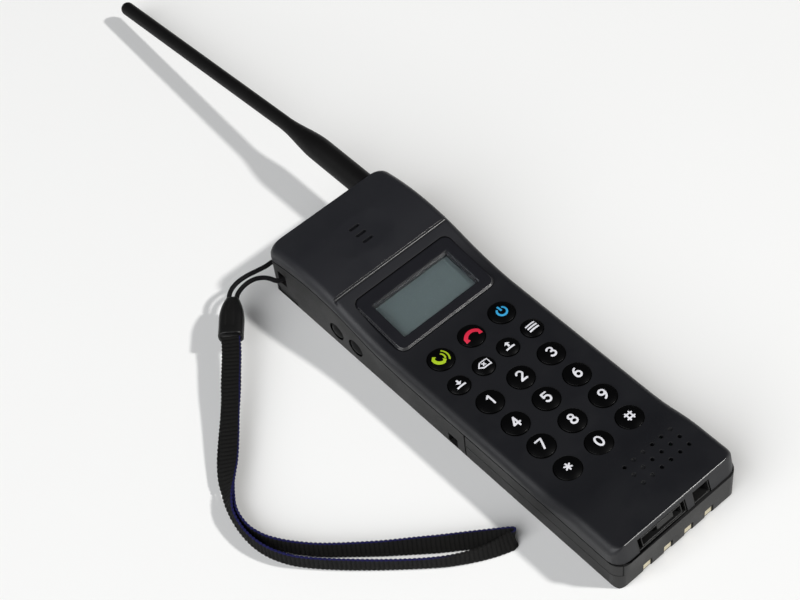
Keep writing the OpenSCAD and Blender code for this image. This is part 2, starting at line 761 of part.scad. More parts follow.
module eyelet_tunnel() {
  low = y_top - post_l - eyelet_w;
  right = -half_body + post_w + eyelet_w;
  block([-half_body - over, low, eyelet_z], [right, low + eyelet_w, eyelet_z + eyelet_h]);
  block([right - eyelet_w, low, eyelet_z], [right, y_top + over, eyelet_z + eyelet_h]);
}
module board_posts() {
  for (x = [-1, 1], y = [tub_in_y + post_inset, main_high_y - post_inset / 2])
    translate([x * (main_half - post_inset / 2), y, wall - eps])
      cylinder(r = board_post_r, h = main_board_z - wall + eps);
}
module screw_posts() {
  for (x = [-1, 1]) {
    translate([x * screw_x, screw_top_y, wall / 2]) cylinder(r = post_r, h = post_top - wall / 2);
    translate([x * screw_x, screw_low_y, tray_z]) cylinder(r = boss_r, h = tray_boss_top - tray_z);
  }
}
module screw_holes() {
  for (x = [-1, 1]) {
    translate([x * screw_x, screw_top_y, -over])
      cylinder(r = screw_head_r + slide_gap, h = screw_seat_z + over);
    translate([x * screw_x, screw_low_y, tray_z - over])
      cylinder(r = screw_head_r + slide_gap, h = screw_head_h + rest_gap + over);
  }
  at_screws() cylinder(r = screw_r + stud_gap, h = screw_top_z);
}
latch_y = seam_y + latch_from_seam;
latch_side = latch_window - 2 * slide_gap;
latch_x = -half_body + latch_depth;
latch_end = latch_x + latch_l;
module latch_guide() {
  block([-in_half, tub_in_y - eps, wall - eps],
    [latch_end + latch_travel, latch_y + latch_window / 2 + wall, latch_z - latch_side / 2 - slide_gap]);
}
module latch_cuts() {
  low = latch_z - latch_window / 2;
  block([-half_body - over, latch_y - latch_window / 2, low],
    [-in_half + over, latch_y + latch_window / 2, low + latch_window]);
  block([latch_end - latch_side - slide_gap, tub_y - over, low],
    [latch_end + latch_travel + slide_gap, tub_in_y + eps, low + latch_window]);
}
terminal_pitch = 4;
terminal_w = 1.6;
terminal_h = 3;
module at_terminals() {
  for (i = [-1 : 1])
    translate([half_body / 2 + i * terminal_pitch, 0, side_key_z]) children();
}
module rear_shell() {
  edge = [for (y = stations) if (y > tub_y) [y, part_z(y) - seam / 2]];
  color("#35353a") difference() {
    union() {
      difference() {
        intersection() {
          back_form();
          extrude_x(-half_body, half_body)
            polygon(concat([[tub_y, 0], [tub_y, lip_top]], edge, [[y_top, 0]]));
        }
        tub_space();
      }
      intersection() {
        extrude_y(y_bot, tub_in_y - wall / 2) tray_section();
        linear_extrude(above_all) plan(wall + slide_gap);
      }
      eyelet_block();
      board_posts();
      screw_posts();
      latch_guide();
    }
    side_key_window(slide_gap);
    side_recess();
    eyelet_tunnel();
    latch_cuts();
    antenna_hole();
    screw_holes();
    at_terminals() translate([0, tub_y + wall / 2, 0])
      cube([terminal_w + 2 * rest_gap, wall + over, terminal_h + 2 * rest_gap], center = true);
  }
}

// Display: a raised bezel with a stepped opening, a clear lens, the glass and its holder
view_y = -bezel_l / 2 - view_shift;
glass_w = view_w + 2 * glass_border;
glass_l = view_l + 2 * glass_border;
module view_rect(grow) {
  translate([0, view_y]) square([view_w + 2 * grow, view_l + 2 * grow], center = true);
}
module display_bezel() {
  color("#101114") on_bezel() difference() {
    union() {
      translate([0, 0, -bezel_t]) linear_extrude(bezel_t - bezel_edge) bezel_outline(0);
      translate([0, 0, -bezel_edge - eps]) linear_extrude(bezel_edge + eps) bezel_outline(-bezel_edge);
    }
    translate([0, 0, -lens_depth - lens_t]) linear_extrude(bezel_t) view_rect(0);
    translate([0, 0, -bezel_t - over]) linear_extrude(bezel_t + over) view_rect(-lens_ledge);
    translate([0, view_y, -bezel_t - over]) linear_extrude(bezel_t + over - view_depth)
      square([glass_w + 2 * rest_gap, glass_l + 2 * rest_gap], center = true);
  }
}
module display_lens() {
  color("#aab4b4", 0.4) on_bezel() translate([0, 0, -lens_depth - lens_t])
    linear_extrude(lens_t) view_rect(-rest_gap);
}
module lcd_glass() {
  color("#8b9a94") on_bezel() translate([0, view_y, -view_depth - glass_t - rest_gap])
    linear_extrude(glass_t) square([glass_w, glass_l], center = true);
}
holder_t = 1.6;
holder_inset = 0.5;
leg_d = 3;
module lcd_holder() {
  under = view_depth + glass_t + rest_gap;
  low = main_board_z + board_t;
  y_mid = y_top - bezel_from_end - bezel_l / 2;
  color("#d8d8d2") {
    on_bezel() translate([0, view_y, -under - holder_t]) linear_extrude(holder_t)
      square([glass_w - 2 * holder_inset, glass_l - 2 * holder_inset], center = true);
    for (x = [-1, 1], y = [-1, 1]) {
      leg_y = y_mid + y * (view_l - leg_d) / 2 - view_shift;
      top = top_z(y_top - bezel_from_end) - (y_top - bezel_from_end - leg_y) * tan(bezel_tilt);
      translate([x * (view_w / 2 - leg_d), leg_y, low])
        cylinder(d = leg_d, h = top - under - holder_t / 2 - low);
    }
  }
}

// Sound: speaker with its foam ring, and the microphone in its rubber boot
gasket_top = crest_z - wall - ear_seat;
// Shares of the speaker's diameter: the foam ring's hole, the magnet, and the two sides of the rim
ring_share = 0.75;
magnet_share = 0.66;
rim_out_share = 0.96;
rim_in_share = 0.84;
module earpiece_gasket() {
  color("#3a3a3a") translate([0, ear_y, gasket_top - gasket_t]) difference() {
    cylinder(d = speaker_d, h = gasket_t);
    translate([0, 0, -over]) cylinder(d = speaker_d * ring_share, h = gasket_t + 2 * over);
  }
}
module earpiece_speaker() {
  top = gasket_top - gasket_t;
  color("#70726f") translate([0, ear_y, top - speaker_h]) {
    cylinder(d = speaker_d, h = speaker_h / 2);
    cylinder(d = speaker_d * magnet_share, h = speaker_h);
    difference() {
      cylinder(d = speaker_d * rim_out_share, h = speaker_h);
      translate([0, 0, -over]) cylinder(d = speaker_d * rim_in_share, h = speaker_h + 2 * over);
    }
  }
}
boot_wall = 1;
module microphone_boot() {
  top = top_z(mic_y + mic_d / 2 + boot_wall) - wall - rest_gap;
  color("#1c1c1c") translate([mic_shift, mic_y, board_top]) difference() {
    cylinder(d = mic_d + 2 * boot_wall, h = top - board_top);
    translate([0, 0, -over]) cylinder(d = mic_d + 2 * stud_gap, h = mic_h + rest_gap + over);
    cylinder(d = mic_d / 2, h = top);
  }
}
module microphone() {
  color("#9a9a92") translate([mic_shift, mic_y, board_top]) cylinder(d = mic_d, h = mic_h);
}

// Keypad: the membrane on its board, and the caps in their holes
board_low_y = mic_y - mic_d / 2 - boot_wall - board_rim;
board_high_y = key_y + 5 * row_pitch + key_d / 2 + board_rim / 2;
link_y = max(board_high_y - link_from_end, main_low_y);
module keypad_board() {
  color("#2f5b3a") difference() {
    block([-web_out, board_low_y, tray_top], [web_out, board_high_y, board_top]);
    for (x = [-1, 1])
      translate([x * screw_x, screw_low_y, 0]) cylinder(r = boss_r + slide_gap, h = above_all);
  }
}
module keypad_membrane() {
  low = key_y - key_d / 2 - board_rim / 4;
  high = board_high_y - board_rim / 4;
  color("#c9c5b4") translate([0, (low + high) / 2, board_top]) linear_extrude(membrane_t)
    round_rect(2 * (col_pitch + key_d / 2 + board_rim), high - low, board_rim);
}
module key_cap(d) {
  r = d / 2;
  sag = key_proud - key_side;
  ball = (r * r + sag * sag) / (2 * sag);
  rotate_extrude() {
    translate([0, face_in - rest_gap]) square([r, wall + rest_gap + key_side]);
    translate([0, flange_z]) square([r + flange_reach, flange_t]);
    intersection() {
      translate([0, face_z + key_proud - ball]) circle(ball, $fn = 128);
      translate([0, face_z]) square([r, key_proud]);
    }
  }
}
module key(k) {
  color("#0c0c0e") translate([k[1], key_y + k[2] * row_pitch, 0]) key_cap(k[3]);
}

// Side keys and the small board behind them
side_flange = 1;
side_board_rim = 1.4;
module side_key(i) {
  reach = half_body + side_proud - side_flange_x;
  ball = side_key_d;
  y = y_top - side_key_from_end - i * side_key_pitch;
  color("#202024") translate([-side_flange_x, y, side_key_z])
    rotate([0, -90, 0]) {
      intersection() {
        cylinder(d = side_key_d, h = reach);
        translate([0, 0, reach - ball]) sphere(ball, $fn = 96);
      }
      translate([0, 0, -flange_t]) cylinder(d = side_key_d + 2 * side_flange, h = flange_t + eps);
    }
}
module side_key_upper() {
  side_key(0);
}
module side_key_lower() {
  side_key(1);
}
module side_key_board() {
  y = y_top - side_key_from_end;
  rim = side_key_d / 2 + side_board_rim;
  color("#2f5b3a") block([-side_board_x, y - side_key_pitch - rim, side_key_z - rim],
    [-side_board_x + board_t, y + rim, side_key_z + rim]);
}

// Main board with its shield, the ringer and the connector to the keypad board
main_top = main_board_z + board_t;
board_gap = 0.5;
main_high_y = y_top - post_l - eyelet_w - wall - board_gap;
module main_board() {
  color("#2f5b3a") difference() {
    block([-main_half, main_low_y, main_board_z], [main_half, main_high_y, main_top]);
    for (x = [-1, 1])
      translate([x * screw_x, screw_top_y, 0]) cylinder(r = post_r + slide_gap, h = above_all);
  }
}
module shield_can() {
  low = [-main_half + shield_inset, link_y + shield_t, main_board_z - shield_h];
  high = [main_half - shield_inset, crest_y - shield_from_crest, main_board_z];
  color("#b9bcbd") difference() {
    block(low, high);
    block(low + [shield_t, shield_t, shield_t], high + [-shield_t, -shield_t, over]);
  }
}
module board_connector() {
  color("#d9d3bf") block([-link_w / 2, link_y, main_top], [link_w / 2, link_y + link_l, tray_top]);
}
ringer_share = 0.6;
ringer_shift = 2;
ringer_gap = 1;
ringer_hole_d = 2.4;
module ringer() {
  high = gasket_top - gasket_t - speaker_h - main_top - ringer_gap;
  color("#1a1a1a") translate([-speaker_d / 3, ear_y - ringer_shift, main_top]) difference() {
    cylinder(d = speaker_d * ringer_share, h = high);
    translate([0, 0, high - ringer_gap]) cylinder(d = ringer_hole_d, h = ringer_gap + over);
  }
}

// Sockets in the lower end, with faces that lean as the front does
module behind_face() {
  angle = atan(chin_lean / (chin_z - seam_z));
  intersection() {
    children();
    translate([0, front_end, seam_z]) rotate([-angle, 0, 0])
      translate([-body_w, socket_sink, -body_w]) cube(2 * body_w);
  }
}
socket_back = front_end + chin_lean + socket_depth;
module accessory_connector() {
  x = -plug_shift;
  z = tray_top + plug_h / 2;
  half = [plug_w / 2, slot_w / 2, slot_h / 2];
  tongue_x = x + tongue_shift - tongue_w / 2;
  color("#26272b") behind_face() difference() {
    block([x - half[0], y_bot, tray_top], [x + half[0], socket_back + wall, tray_top + plug_h]);
    difference() {
      block([x - half[1], y_bot - over, z - half[2]], [x + half[1], socket_back, z + half[2]]);
      block([tongue_x, y_bot, z - slot_h / 10], [tongue_x + tongue_w, socket_back, z + slot_h]);
    }
    difference() {
      block([x - half[0] + plug_rim, y_bot - over, tray_top + plug_rim],
        [x + half[0] - plug_rim, front_end + chin_lean + plug_rim, tray_top + plug_h - plug_rim]);
      block([x - half[1] - plug_rim, y_bot - 2 * over, z - half[2] - plug_rim],
        [x + half[1] + plug_rim, socket_back, z + half[2] + plug_rim]);
    }
  }
}
module power_jack() {
  x = jack_shift;
  half = jack_w / 2;
  top = tray_top + jack_h;
  color("#1b1b1e") behind_face() {
    difference() {
      block([x - half, y_bot, tray_top], [x + half, socket_back + wall, top]);
      block([x - half + jack_lip, y_bot - over, tray_top + jack_lip],
        [x + half - jack_lip, socket_back, top - jack_lip]);
    }
    translate([x, 0, (tray_top + top) / 2])
      bar_y(jack_pin_d / 2, front_end + chin_lean + over, socket_back + eps);
  }
}

// Antenna: a whip whose taper and rod droop a little, on a stud that screws into a bush
base_y = y_top + slide_gap;
module taper_outline() {
  rise = (base_d - rod_d) / 2;
  steps = 10;
  polygon(concat([[0, taper_l], [0, 0]],
    [for (i = [0 : steps])
      let (t = taper_l * i / steps) [base_d / 2 - rise * (1 - cos(180 * i / steps)) / 2, t]]));
}
module antenna() {
  color("#0b0b0c") translate([antenna_x, 0, antenna_z]) {
    bar_y(stud_d / 2, y_top - stud_l, base_y + over);
    bar_y(base_d / 2, base_y, base_y + base_l);
    translate([0, base_y + base_l, 0]) rotate([-rod_droop / 2, 0, 0]) {
      sphere(d = base_d);
      rotate([-90, 0, 0]) rotate_extrude() taper_outline();
      translate([0, taper_l, 0]) rotate([-rod_droop / 2, 0, 0]) {
        sphere(d = rod_d);
        bar_y(rod_d / 2, 0, rod_l - rod_d / 2);
        translate([0, rod_l - rod_d / 2, 0]) sphere(d = rod_d);
      }
    }
  }
}
module antenna_bush() {
  back = y_top - stud_l - 2 * bush_floor;
  color("#b08d3c") translate([antenna_x, 0, antenna_z]) difference() {
    union() {
      bar_y(bush_flange_r, back, y_top - wall - rest_gap);
      bar_y(bush_r, back, y_top);
    }
    bar_y(stud_d / 2 + stud_gap, back + bush_floor, y_top + over);
  }
}

// Battery pack: a tub with the end wall, and a lid with side bands that hang on the tray's rails
notch_gap = 0.2;
notch_half = contact_w / 2 + notch_gap;
module at_contacts() {
  for (i = [-1.5 : 1.5])
    translate([i * contact_pitch - contact_shift, y_bot, 0]) children();
}
module pack_form() {
  intersection() {
    back_form();
    block([-half_body, y_bot, 0], [half_body, pack_y, lip_top]);
  }
}
module battery_case() {
  color("#35353a") difference() {
    intersection() {
      pack_form();
      union() {
        block([-body_w, y_bot, 0], [body_w, pack_y, pack_seam_z - rest_gap / 2]);
        block([-pack_end_half, y_bot, 0], [pack_end_half, y_bot + wall, lip_top]);
        block([-lid_half, pack_y - wall, 0], [lid_half, pack_y, ledge_z - rest_gap]);
      }
    }
    intersection() {
      translate([0, 0, pack_wall]) linear_extrude(above_all) plan(wall);
      block([-half_body, y_bot + wall, 0], [half_body, pack_y - wall, above_all]);
    }
    at_contacts() block([-notch_half, -over, -over],
      [notch_half, contact_depth + contact_t, contact_z + contact_h + notch_gap]);
    at_terminals() block([-terminal_w, pack_y - contact_t, -terminal_h / 2],
      [terminal_w, pack_y + over, terminal_h / 2]);
  }
}
module lid_section() {
  translate([-lid_half - lid_t, lid_z]) square([2 * (lid_half + lid_t), lid_t]);
  for (x = [-1, 1]) {
    translate([x * (lid_half + lid_t / 2) - lid_t / 2, ledge_z]) square([lid_t, lid_top - ledge_z]);
    translate([x * (lid_half + half_body) / 2 - (half_body - lid_half) / 2, ledge_z])
      square([half_body - lid_half, lid_t]);
    translate([x * (lip_in + half_body) / 2 - (half_body - lip_in) / 2, lip_z])
      square([half_body - lip_in, rail_t]);
  }
}
module battery_lid() {
  inner_end = y_bot + wall + rest_gap;
  color("#35353a") intersection() {
    pack_form();
    union() {
      extrude_y(inner_end, pack_y) lid_section();
      block([-lid_half - eps, pack_y - wall, ledge_z], [lid_half + eps, pack_y, lid_z + eps]);
      difference() {
        block([-half_body, y_bot, pack_seam_z + rest_gap / 2], [half_body, pack_y, lip_top]);
        linear_extrude(above_all) plan(wall);
        block([-pack_end_half - rest_gap, y_bot - over, 0],
          [pack_end_half + rest_gap, pack_y + over, above_all]);
      }
    }
  }
}
cell_nub = 1;
cell_pitch = cell_d + 2 * rest_gap;
cell_count = floor((pack_l - 2 * wall - seam) / cell_pitch);
module battery_cells() {
  mid = (y_bot + pack_y) / 2;
  color("#4c6b8a") for (i = [0 : cell_count - 1])
    translate([-cell_l / 2, mid + (i - (cell_count - 1) / 2) * cell_pitch, cell_z]) rotate([0, 90, 0]) {
      cylinder(d = cell_d, h = cell_l - cell_nub);
      cylinder(d = cell_d / 3, h = cell_l);
    }
}
module charge_contacts() {
  color("#c8b277") at_contacts()
    block([-contact_w / 2, contact_depth, contact_z],
      [contact_w / 2, contact_depth + contact_t, contact_z + contact_h]);
}
module battery_pads() {
  pad = [terminal_w - rest_gap, terminal_h / 2 - rest_gap];
  color("#c8b277") at_terminals()
    block([-pad[0], pack_y - contact_t, -pad[1]], [pad[0], pack_y, pad[1]]);
}
module battery_terminals() {
  color("#c8b277") at_terminals()
    block([-terminal_w / 2, tub_y, -terminal_h / 2], [terminal_w / 2, tub_in_y + over, terminal_h / 2]);
}

// Latch that holds the pack: a pusher behind the square window with a nose towards the battery
module battery_latch() {
  side = latch_side / 2;
  color("#1e1e20") {
    block([latch_x, latch_y - side, latch_z - side], [latch_end, latch_y + side, latch_z + side]);
    block([latch_end - latch_side, tub_y, latch_z - side], [latch_end, latch_y, latch_z + side]);
  }
}

// Screws: two from the back in deep holes, two in the tray under the battery
module screw(seat, top) {
  translate([0, 0, seat - screw_head_h]) difference() {
    cylinder(r = screw_head_r, h = screw_head_h);
    translate([0, 0, -over]) cylinder(r = screw_head_r / 2, h = over + screw_head_h / 2, $fn = 6);
  }
  translate([0, 0, seat - eps]) cylinder(r = screw_r, h = top - seat);
}
module case_screws() {
  color("#8d8f90") for (x = [-1, 1]) {
    translate([x * screw_x, screw_top_y, 0]) screw(screw_seat_z, screw_top_z);
    translate([x * screw_x, screw_low_y, 0]) screw(tray_z + screw_head_h + rest_gap, screw_top_z);
  }
}

// Wrist strap: the thin cord, the cap and the flat webbing that runs out, folds and comes back
function unit(v) = v / norm(v);
function tangent(p, i) = unit(p[min(i + 1, len(p) - 1)] - p[max(i - 1, 0)]);
function tube_ring(p, t, r, sides) =
  let (u = unit(cross([0, 0, 1], t)), v = cross(u, t))
  [for (j = [0 : sides - 1]) p + r * (cos(360 * j / sides) * u + sin(360 * j / sides) * v)];
module strap_cord() {
  last = len(cord_route) - 1;
  color("#141216") skin([for (i = [0 : last])
    let (t = i == 0 ? nose : i == last ? -nose : tangent(cord_route, i))
    tube_ring(cord_route[i], t, cord_d / 2, cord_sides)]);
}
module strap_cap() {
  bend = -cap_l / 16;
  color("#161618") translate(cap_place) rotate([0, 0, cap_turn]) intersection() {
    extrude_y(-cap_l / 2, cap_l / 2) round_rect(cap_w, cap_t, cap_t / 3);
    translate([0, 0, -cap_t]) linear_extrude(2 * cap_t) {
      intersection_for (x = [-1, 1])
        translate([x * (cap_arch - cap_w / 2), bend]) circle(cap_arch, $fn = 128);
      translate([-cap_w / 2, -cap_l / 2]) square([cap_w, cap_l / 2 + bend]);
    }
  }
}
function place(row) = [row[0], row[1], row[2]];
function web_frame(run, i) =
  let (
    t = i == 0 ? -nose : tangent([for (row = run) place(row)], i),
    inside = unit(cross([0, 0, 1], t)),
    across = cos(run[i][3]) * inside + sin(run[i][3]) * [0, 0, 1]
  )
  [t, unit(across - (across * t) * t)];
// One ring of the webbing, whose outer face looks along out
function web_ring(p, across, out) =
  let (
    a = web_w / 2 * across,
    b = web_t / 2 * out,
    c = (web_w - web_t / 2) / 2 * across,
    right = [p + a - b / 2, p + c - b, p - c - b, p - a - b / 2],
    left = [p - a + b / 2, p - c + b, p + c + b, p + a + b / 2]
  )
  concat(right, left);
function run_ring(run, i, side) =
  let (f = web_frame(run, i))
  web_ring(place(run[i]), f[1], side * cross(f[0], f[1]));
module strap_webbing() {
  last = len(near_run) - 1;
  near_end = web_frame(near_run, last);
  far_end = web_frame(far_run, last);
  ends = [place(near_run[last]), place(far_run[last])];
  middle = (ends[0] + ends[1]) / 2;
  side = (ends[0] - ends[1]) / 2;
  way = unit(near_end[0] + far_end[0]);
  across = unit(near_end[1] + far_end[1]);
  fold = [for (i = [1 : fold_steps - 1])
    let (turn = 180 * i / fold_steps, out = cos(turn) * unit(side) + sin(turn) * way)
    web_ring(middle + norm(side) * out, across, out)];
  color("#15131a") skin(concat(
    [for (i = [0 : last]) run_ring(near_run, i, 1)],
    fold,
    [for (i = [last : -1 : 0]) run_ring(far_run, i, -1)]));
}

front_shell();
rear_shell();
display_bezel();
display_lens();
lcd_glass();
lcd_holder();
earpiece_speaker();
earpiece_gasket();
microphone();
microphone_boot();
keypad_membrane();
keypad_board();
for (k = key_table)
  key(k);
side_key_upper();
side_key_lower();
side_key_board();
main_board();
shield_can();
board_connector();
ringer();
accessory_connector();
power_jack();
antenna();
antenna_bush();
battery_case();
battery_lid();
battery_cells();
battery_pads();
battery_terminals();
charge_contacts();
battery_latch();
case_screws();
strap_cord();
strap_cap();
strap_webbing();
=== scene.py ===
import json
import math
import bmesh
import bpy
import numpy
from mathutils import Matrix, Vector
from mathutils.bvhtree import BVHTree

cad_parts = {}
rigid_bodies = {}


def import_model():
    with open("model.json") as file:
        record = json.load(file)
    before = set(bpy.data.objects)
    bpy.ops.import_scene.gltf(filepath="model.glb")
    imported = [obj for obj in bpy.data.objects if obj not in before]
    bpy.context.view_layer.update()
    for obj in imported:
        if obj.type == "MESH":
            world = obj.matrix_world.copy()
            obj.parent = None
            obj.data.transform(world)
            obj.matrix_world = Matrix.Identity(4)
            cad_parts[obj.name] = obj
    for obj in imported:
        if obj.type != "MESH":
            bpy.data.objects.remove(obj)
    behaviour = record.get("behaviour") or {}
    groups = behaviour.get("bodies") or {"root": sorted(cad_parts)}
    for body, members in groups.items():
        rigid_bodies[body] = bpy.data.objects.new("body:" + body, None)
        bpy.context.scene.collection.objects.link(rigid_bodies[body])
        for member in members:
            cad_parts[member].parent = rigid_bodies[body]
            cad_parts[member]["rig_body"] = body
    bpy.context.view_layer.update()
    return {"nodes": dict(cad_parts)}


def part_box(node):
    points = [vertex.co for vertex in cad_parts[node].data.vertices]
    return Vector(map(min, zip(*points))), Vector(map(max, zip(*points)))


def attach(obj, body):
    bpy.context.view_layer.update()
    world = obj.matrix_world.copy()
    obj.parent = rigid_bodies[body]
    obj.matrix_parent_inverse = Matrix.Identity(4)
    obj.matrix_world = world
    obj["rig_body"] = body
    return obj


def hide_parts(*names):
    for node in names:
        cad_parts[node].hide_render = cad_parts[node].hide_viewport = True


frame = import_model()
scene = bpy.context.scene
scene.view_settings.view_transform = "Standard"
mm = 0.001
cadNodes = frame["nodes"]
bodyOf = {name: node["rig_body"] for name, node in cadNodes.items()}
print("stage: frame loaded,", len(cadNodes), "nodes")

# camera: the picture's own viewpoint, angles in degrees, lengths in mm
cameraView = {
    "lookAt": (1.293, 50.243, 0.0),
    "azimuth": -34.75,
    "elevation": 51.787,
    "roll": -8.276,
    "distance": 659.26,
    "focalPixels": 1863.8,
    "pictureWidth": 800,
    "sensor": 36.0,
}


def placeCamera(view):
    turn, lift, roll = (math.radians(view[k]) for k in ("azimuth", "elevation", "roll"))
    back = Vector((math.sin(turn) * math.cos(lift), -math.cos(turn) * math.cos(lift), math.sin(lift)))
    level = Vector((math.cos(turn), math.sin(turn), 0))
    right = level * math.cos(roll) + back.cross(level) * math.sin(roll)
    axes = Matrix((right, back.cross(right), back)).transposed().to_4x4()
    camera = bpy.data.objects.new("camera", bpy.data.cameras.new("camera"))
    camera.data.sensor_width = view["sensor"]
    camera.data.lens = view["focalPixels"] * view["sensor"] / view["pictureWidth"]
    place = (Vector(view["lookAt"]) + back * view["distance"]) * mm
    camera.matrix_world = Matrix.Translation(place) @ axes
    scene.collection.objects.link(camera)
    scene.camera = camera


placeCamera(cameraView)
print("stage: camera placed")


# mesh helpers
def addObject(name, data):
    obj = bpy.data.objects.new(name, data)
    scene.collection.objects.link(obj)
    return obj


def bakeModifiers(obj):
    # the evaluated result becomes the object's own plain mesh
    bpy.context.view_layer.update()
    graph = bpy.context.evaluated_depsgraph_get()
    seen = obj.evaluated_get(graph)
    plain = bpy.data.meshes.new_from_object(seen, preserve_all_data_layers=True, depsgraph=graph)
    obj.modifiers.clear()
    old = obj.data
    obj.data = plain
    bpy.data.meshes.remove(old)
    plain.name = obj.name


def placePiece(obj, body, nodes=()):
    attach(obj, body)
    if nodes:
        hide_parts(*nodes)
    return obj


def smoothPath(points, perSpan):
    # a smooth line through every point, with perSpan steps between two of them
    rows = [Vector(p) for p in points]
    rows = [rows[0] * 2 - rows[1]] + rows + [rows[-1] * 2 - rows[-2]]
    line = []
    for a, b, c, d in zip(rows, rows[1:], rows[2:], rows[3:]):
        for k in range(perSpan):
            t = k / perSpan
            bend = (a * 2 - b * 5 + c * 4 - d) * t**2 + (b * 3 - a - c * 3 + d) * t**3
            line.append((b * 2 + (c - a) * t + bend) / 2)
    line.append(rows[-2])
    return line


def evenSteps(rows, step):
    # rows start with x, y, z; they come back at even distances, with the line's length, and each row's in m
    reach = [0.0]
    for a, b in zip(rows, rows[1:]):
        reach.append(reach[-1] + (Vector(b[:3]) - Vector(a[:3])).length)
    count = max(2, round(reach[-1] / step))
    out, k = [], 0
    for i in range(count + 1):
        want = reach[-1] * i / count
        while k < len(rows) - 2 and reach[k + 1] < want:
            k += 1
        t = (want - reach[k]) / max(reach[k + 1] - reach[k], 1e-9)
        out.append(Vector(rows[k]) * (1 - t) + Vector(rows[k + 1]) * t)
    return out, reach[-1], [reach[-1] * mm * i / count for i in range(count + 1)]


def tangents(line):
    ends = [line[0]] + list(line) + [line[-1]]
    return [(Vector(b[:3]) - Vector(a[:3])).normalized() for a, b in zip(ends, ends[2:])]


def sweep(name, rings, lengths, turns):
    # rings of equal count become a closed tube; lengths and turns are kept for the materials
    count = len(rings[0])
    verts = [p for ring in rings for p in ring]
    faces = [tuple(reversed(range(count)))]
    for i in range(len(rings) - 1):
        for k in range(count):
            n = (k + 1) % count
            faces.append((i * count + k, i * count + n, (i + 1) * count + n, (i + 1) * count + k))
    faces.append(tuple(range((len(rings) - 1) * count, len(rings) * count)))
    mesh = bpy.data.meshes.new(name)
    mesh.from_pydata(verts, [], faces)
    along = [s for s in lengths for k in range(count)]
    for label, values in (("along", along), ("across", turns * len(rings))):
        layer = mesh.attributes.new(label, "FLOAT", "POINT")
        layer.data.foreach_set("value", values)
    mesh.shade_smooth()
    return addObject(name, mesh)


# node helpers, for geometry and for shaders
def feed(tree, socket, value):
    # a number or a colour is set, an output is linked
    if isinstance(value, (int, float)):
        socket.default_value = value
    elif isinstance(value, tuple):
        socket.default_value = (*value, 1.0)
    else:
        tree.links.new(value, socket)


def feedAll(tree, node, values):
    for label, value in values.items():
        feed(tree, node.inputs[label], value)


def addNode(tree, kind, values, operation=None):
    node = tree.nodes.new(kind)
    if operation:
        node.operation = operation
    feedAll(tree, node, values)
    return node


def newTree(name, kind, inputs, outputs):
    # inputs and outputs give each socket's kind by its name
    tree = bpy.data.node_groups.new(name, kind)
    for way, sockets in (("INPUT", inputs), ("OUTPUT", outputs)):
        for label, socketKind in sockets.items():
            tree.interface.new_socket(label, in_out=way, socket_type="NodeSocket" + socketKind)
    return tree, tree.nodes.new("NodeGroupInput"), tree.nodes.new("NodeGroupOutput")


def mathNode(tree, operation, *values):
    node = tree.nodes.new("ShaderNodeMath")
    node.operation = operation
    for socket, value in zip(node.inputs, values):
        feed(tree, socket, value)
    return node.outputs[0]


def noiseNode(tree, vector, scale, detail=2.0, kind="ShaderNodeTexNoise"):
    node = addNode(tree, kind, {"Vector": vector, "Scale": scale})
    if "Detail" in node.inputs:
        node.inputs["Detail"].default_value = detail
    return node.outputs["Distance" if "Distance" in node.outputs else "Fac"]


def rangeNode(tree, value, low, high, toLow=0.0, toHigh=1.0):
    node = tree.nodes.new("ShaderNodeMapRange")
    node.interpolation_type = "SMOOTHSTEP"
    feedAll(tree, node, {"Value": value, "From Min": low, "From Max": high})
    feedAll(tree, node, {"To Min": toLow, "To Max": toHigh})
    return node.outputs["Result"]


def axisOf(tree, vector, axis):
    return addNode(tree, "ShaderNodeSeparateXYZ", {"Vector": vector}).outputs[axis]


def runTree(obj, tree, values):
    modifier = obj.modifiers.new(tree.name, "NODES")
    modifier.node_group = tree
    for item in tree.interface.items_tree:
        if item.item_type == "SOCKET" and item.in_out == "INPUT" and item.name in values:
            modifier[item.identifier] = values[item.name]
    bakeModifiers(obj)


# shader node groups, shared by the materials: scales per metre, and the spans of noise that count
groupPlan = {
    "pitDetail": 3.0, "cellShare": 0.5, "toneScale": 55.0, "toneDetail": 3.0, "toneSpan": (0.3, 0.7),
    "rubDetail": 4.0, "rubSpan": (0.42, 0.68),
    "speckDetail": 1.0, "speckSpan": (0.16, 0.05), "dustScale": 90.0, "dustSpan": (0.52, 0.68),
    "upSpan": (0.2, 0.8),
}


def makeMouldGrain(plan):
    # fine pits of a spark-eroded mould, and slow changes of tone
    inputs = {"Vector": "Vector", "Pit Size": "Float"}
    outputs = {"Height": "Float", "Tone": "Float"}
    group, inlet, outlet = newTree("mouldGrain", "ShaderNodeTree", inputs, outputs)
    place = inlet.outputs["Vector"]
    scale = mathNode(group, "DIVIDE", 1.0, inlet.outputs["Pit Size"])
    pits = noiseNode(group, place, scale, plan["pitDetail"])
    cells = noiseNode(group, place, scale, kind="ShaderNodeTexVoronoi")
    deep = mathNode(group, "MULTIPLY", cells, plan["cellShare"])
    slow = noiseNode(group, place, plan["toneScale"], plan["toneDetail"])
    tone = rangeNode(group, slow, *plan["toneSpan"])
    feedAll(group, outlet, {"Height": mathNode(group, "ADD", pits, deep), "Tone": tone})
    return group


def makeHandRub(plan):
    # patches that handling has polished
    inputs = {"Vector": "Vector", "Patch Size": "Float"}
    group, inlet, outlet = newTree("handRub", "ShaderNodeTree", inputs, {"Rubbed": "Float"})
    scale = mathNode(group, "DIVIDE", 1.0, inlet.outputs["Patch Size"])
    patches = noiseNode(group, inlet.outputs["Vector"], scale, plan["rubDetail"])
    feedAll(group, outlet, {"Rubbed": rangeNode(group, patches, *plan["rubSpan"])})
    return group


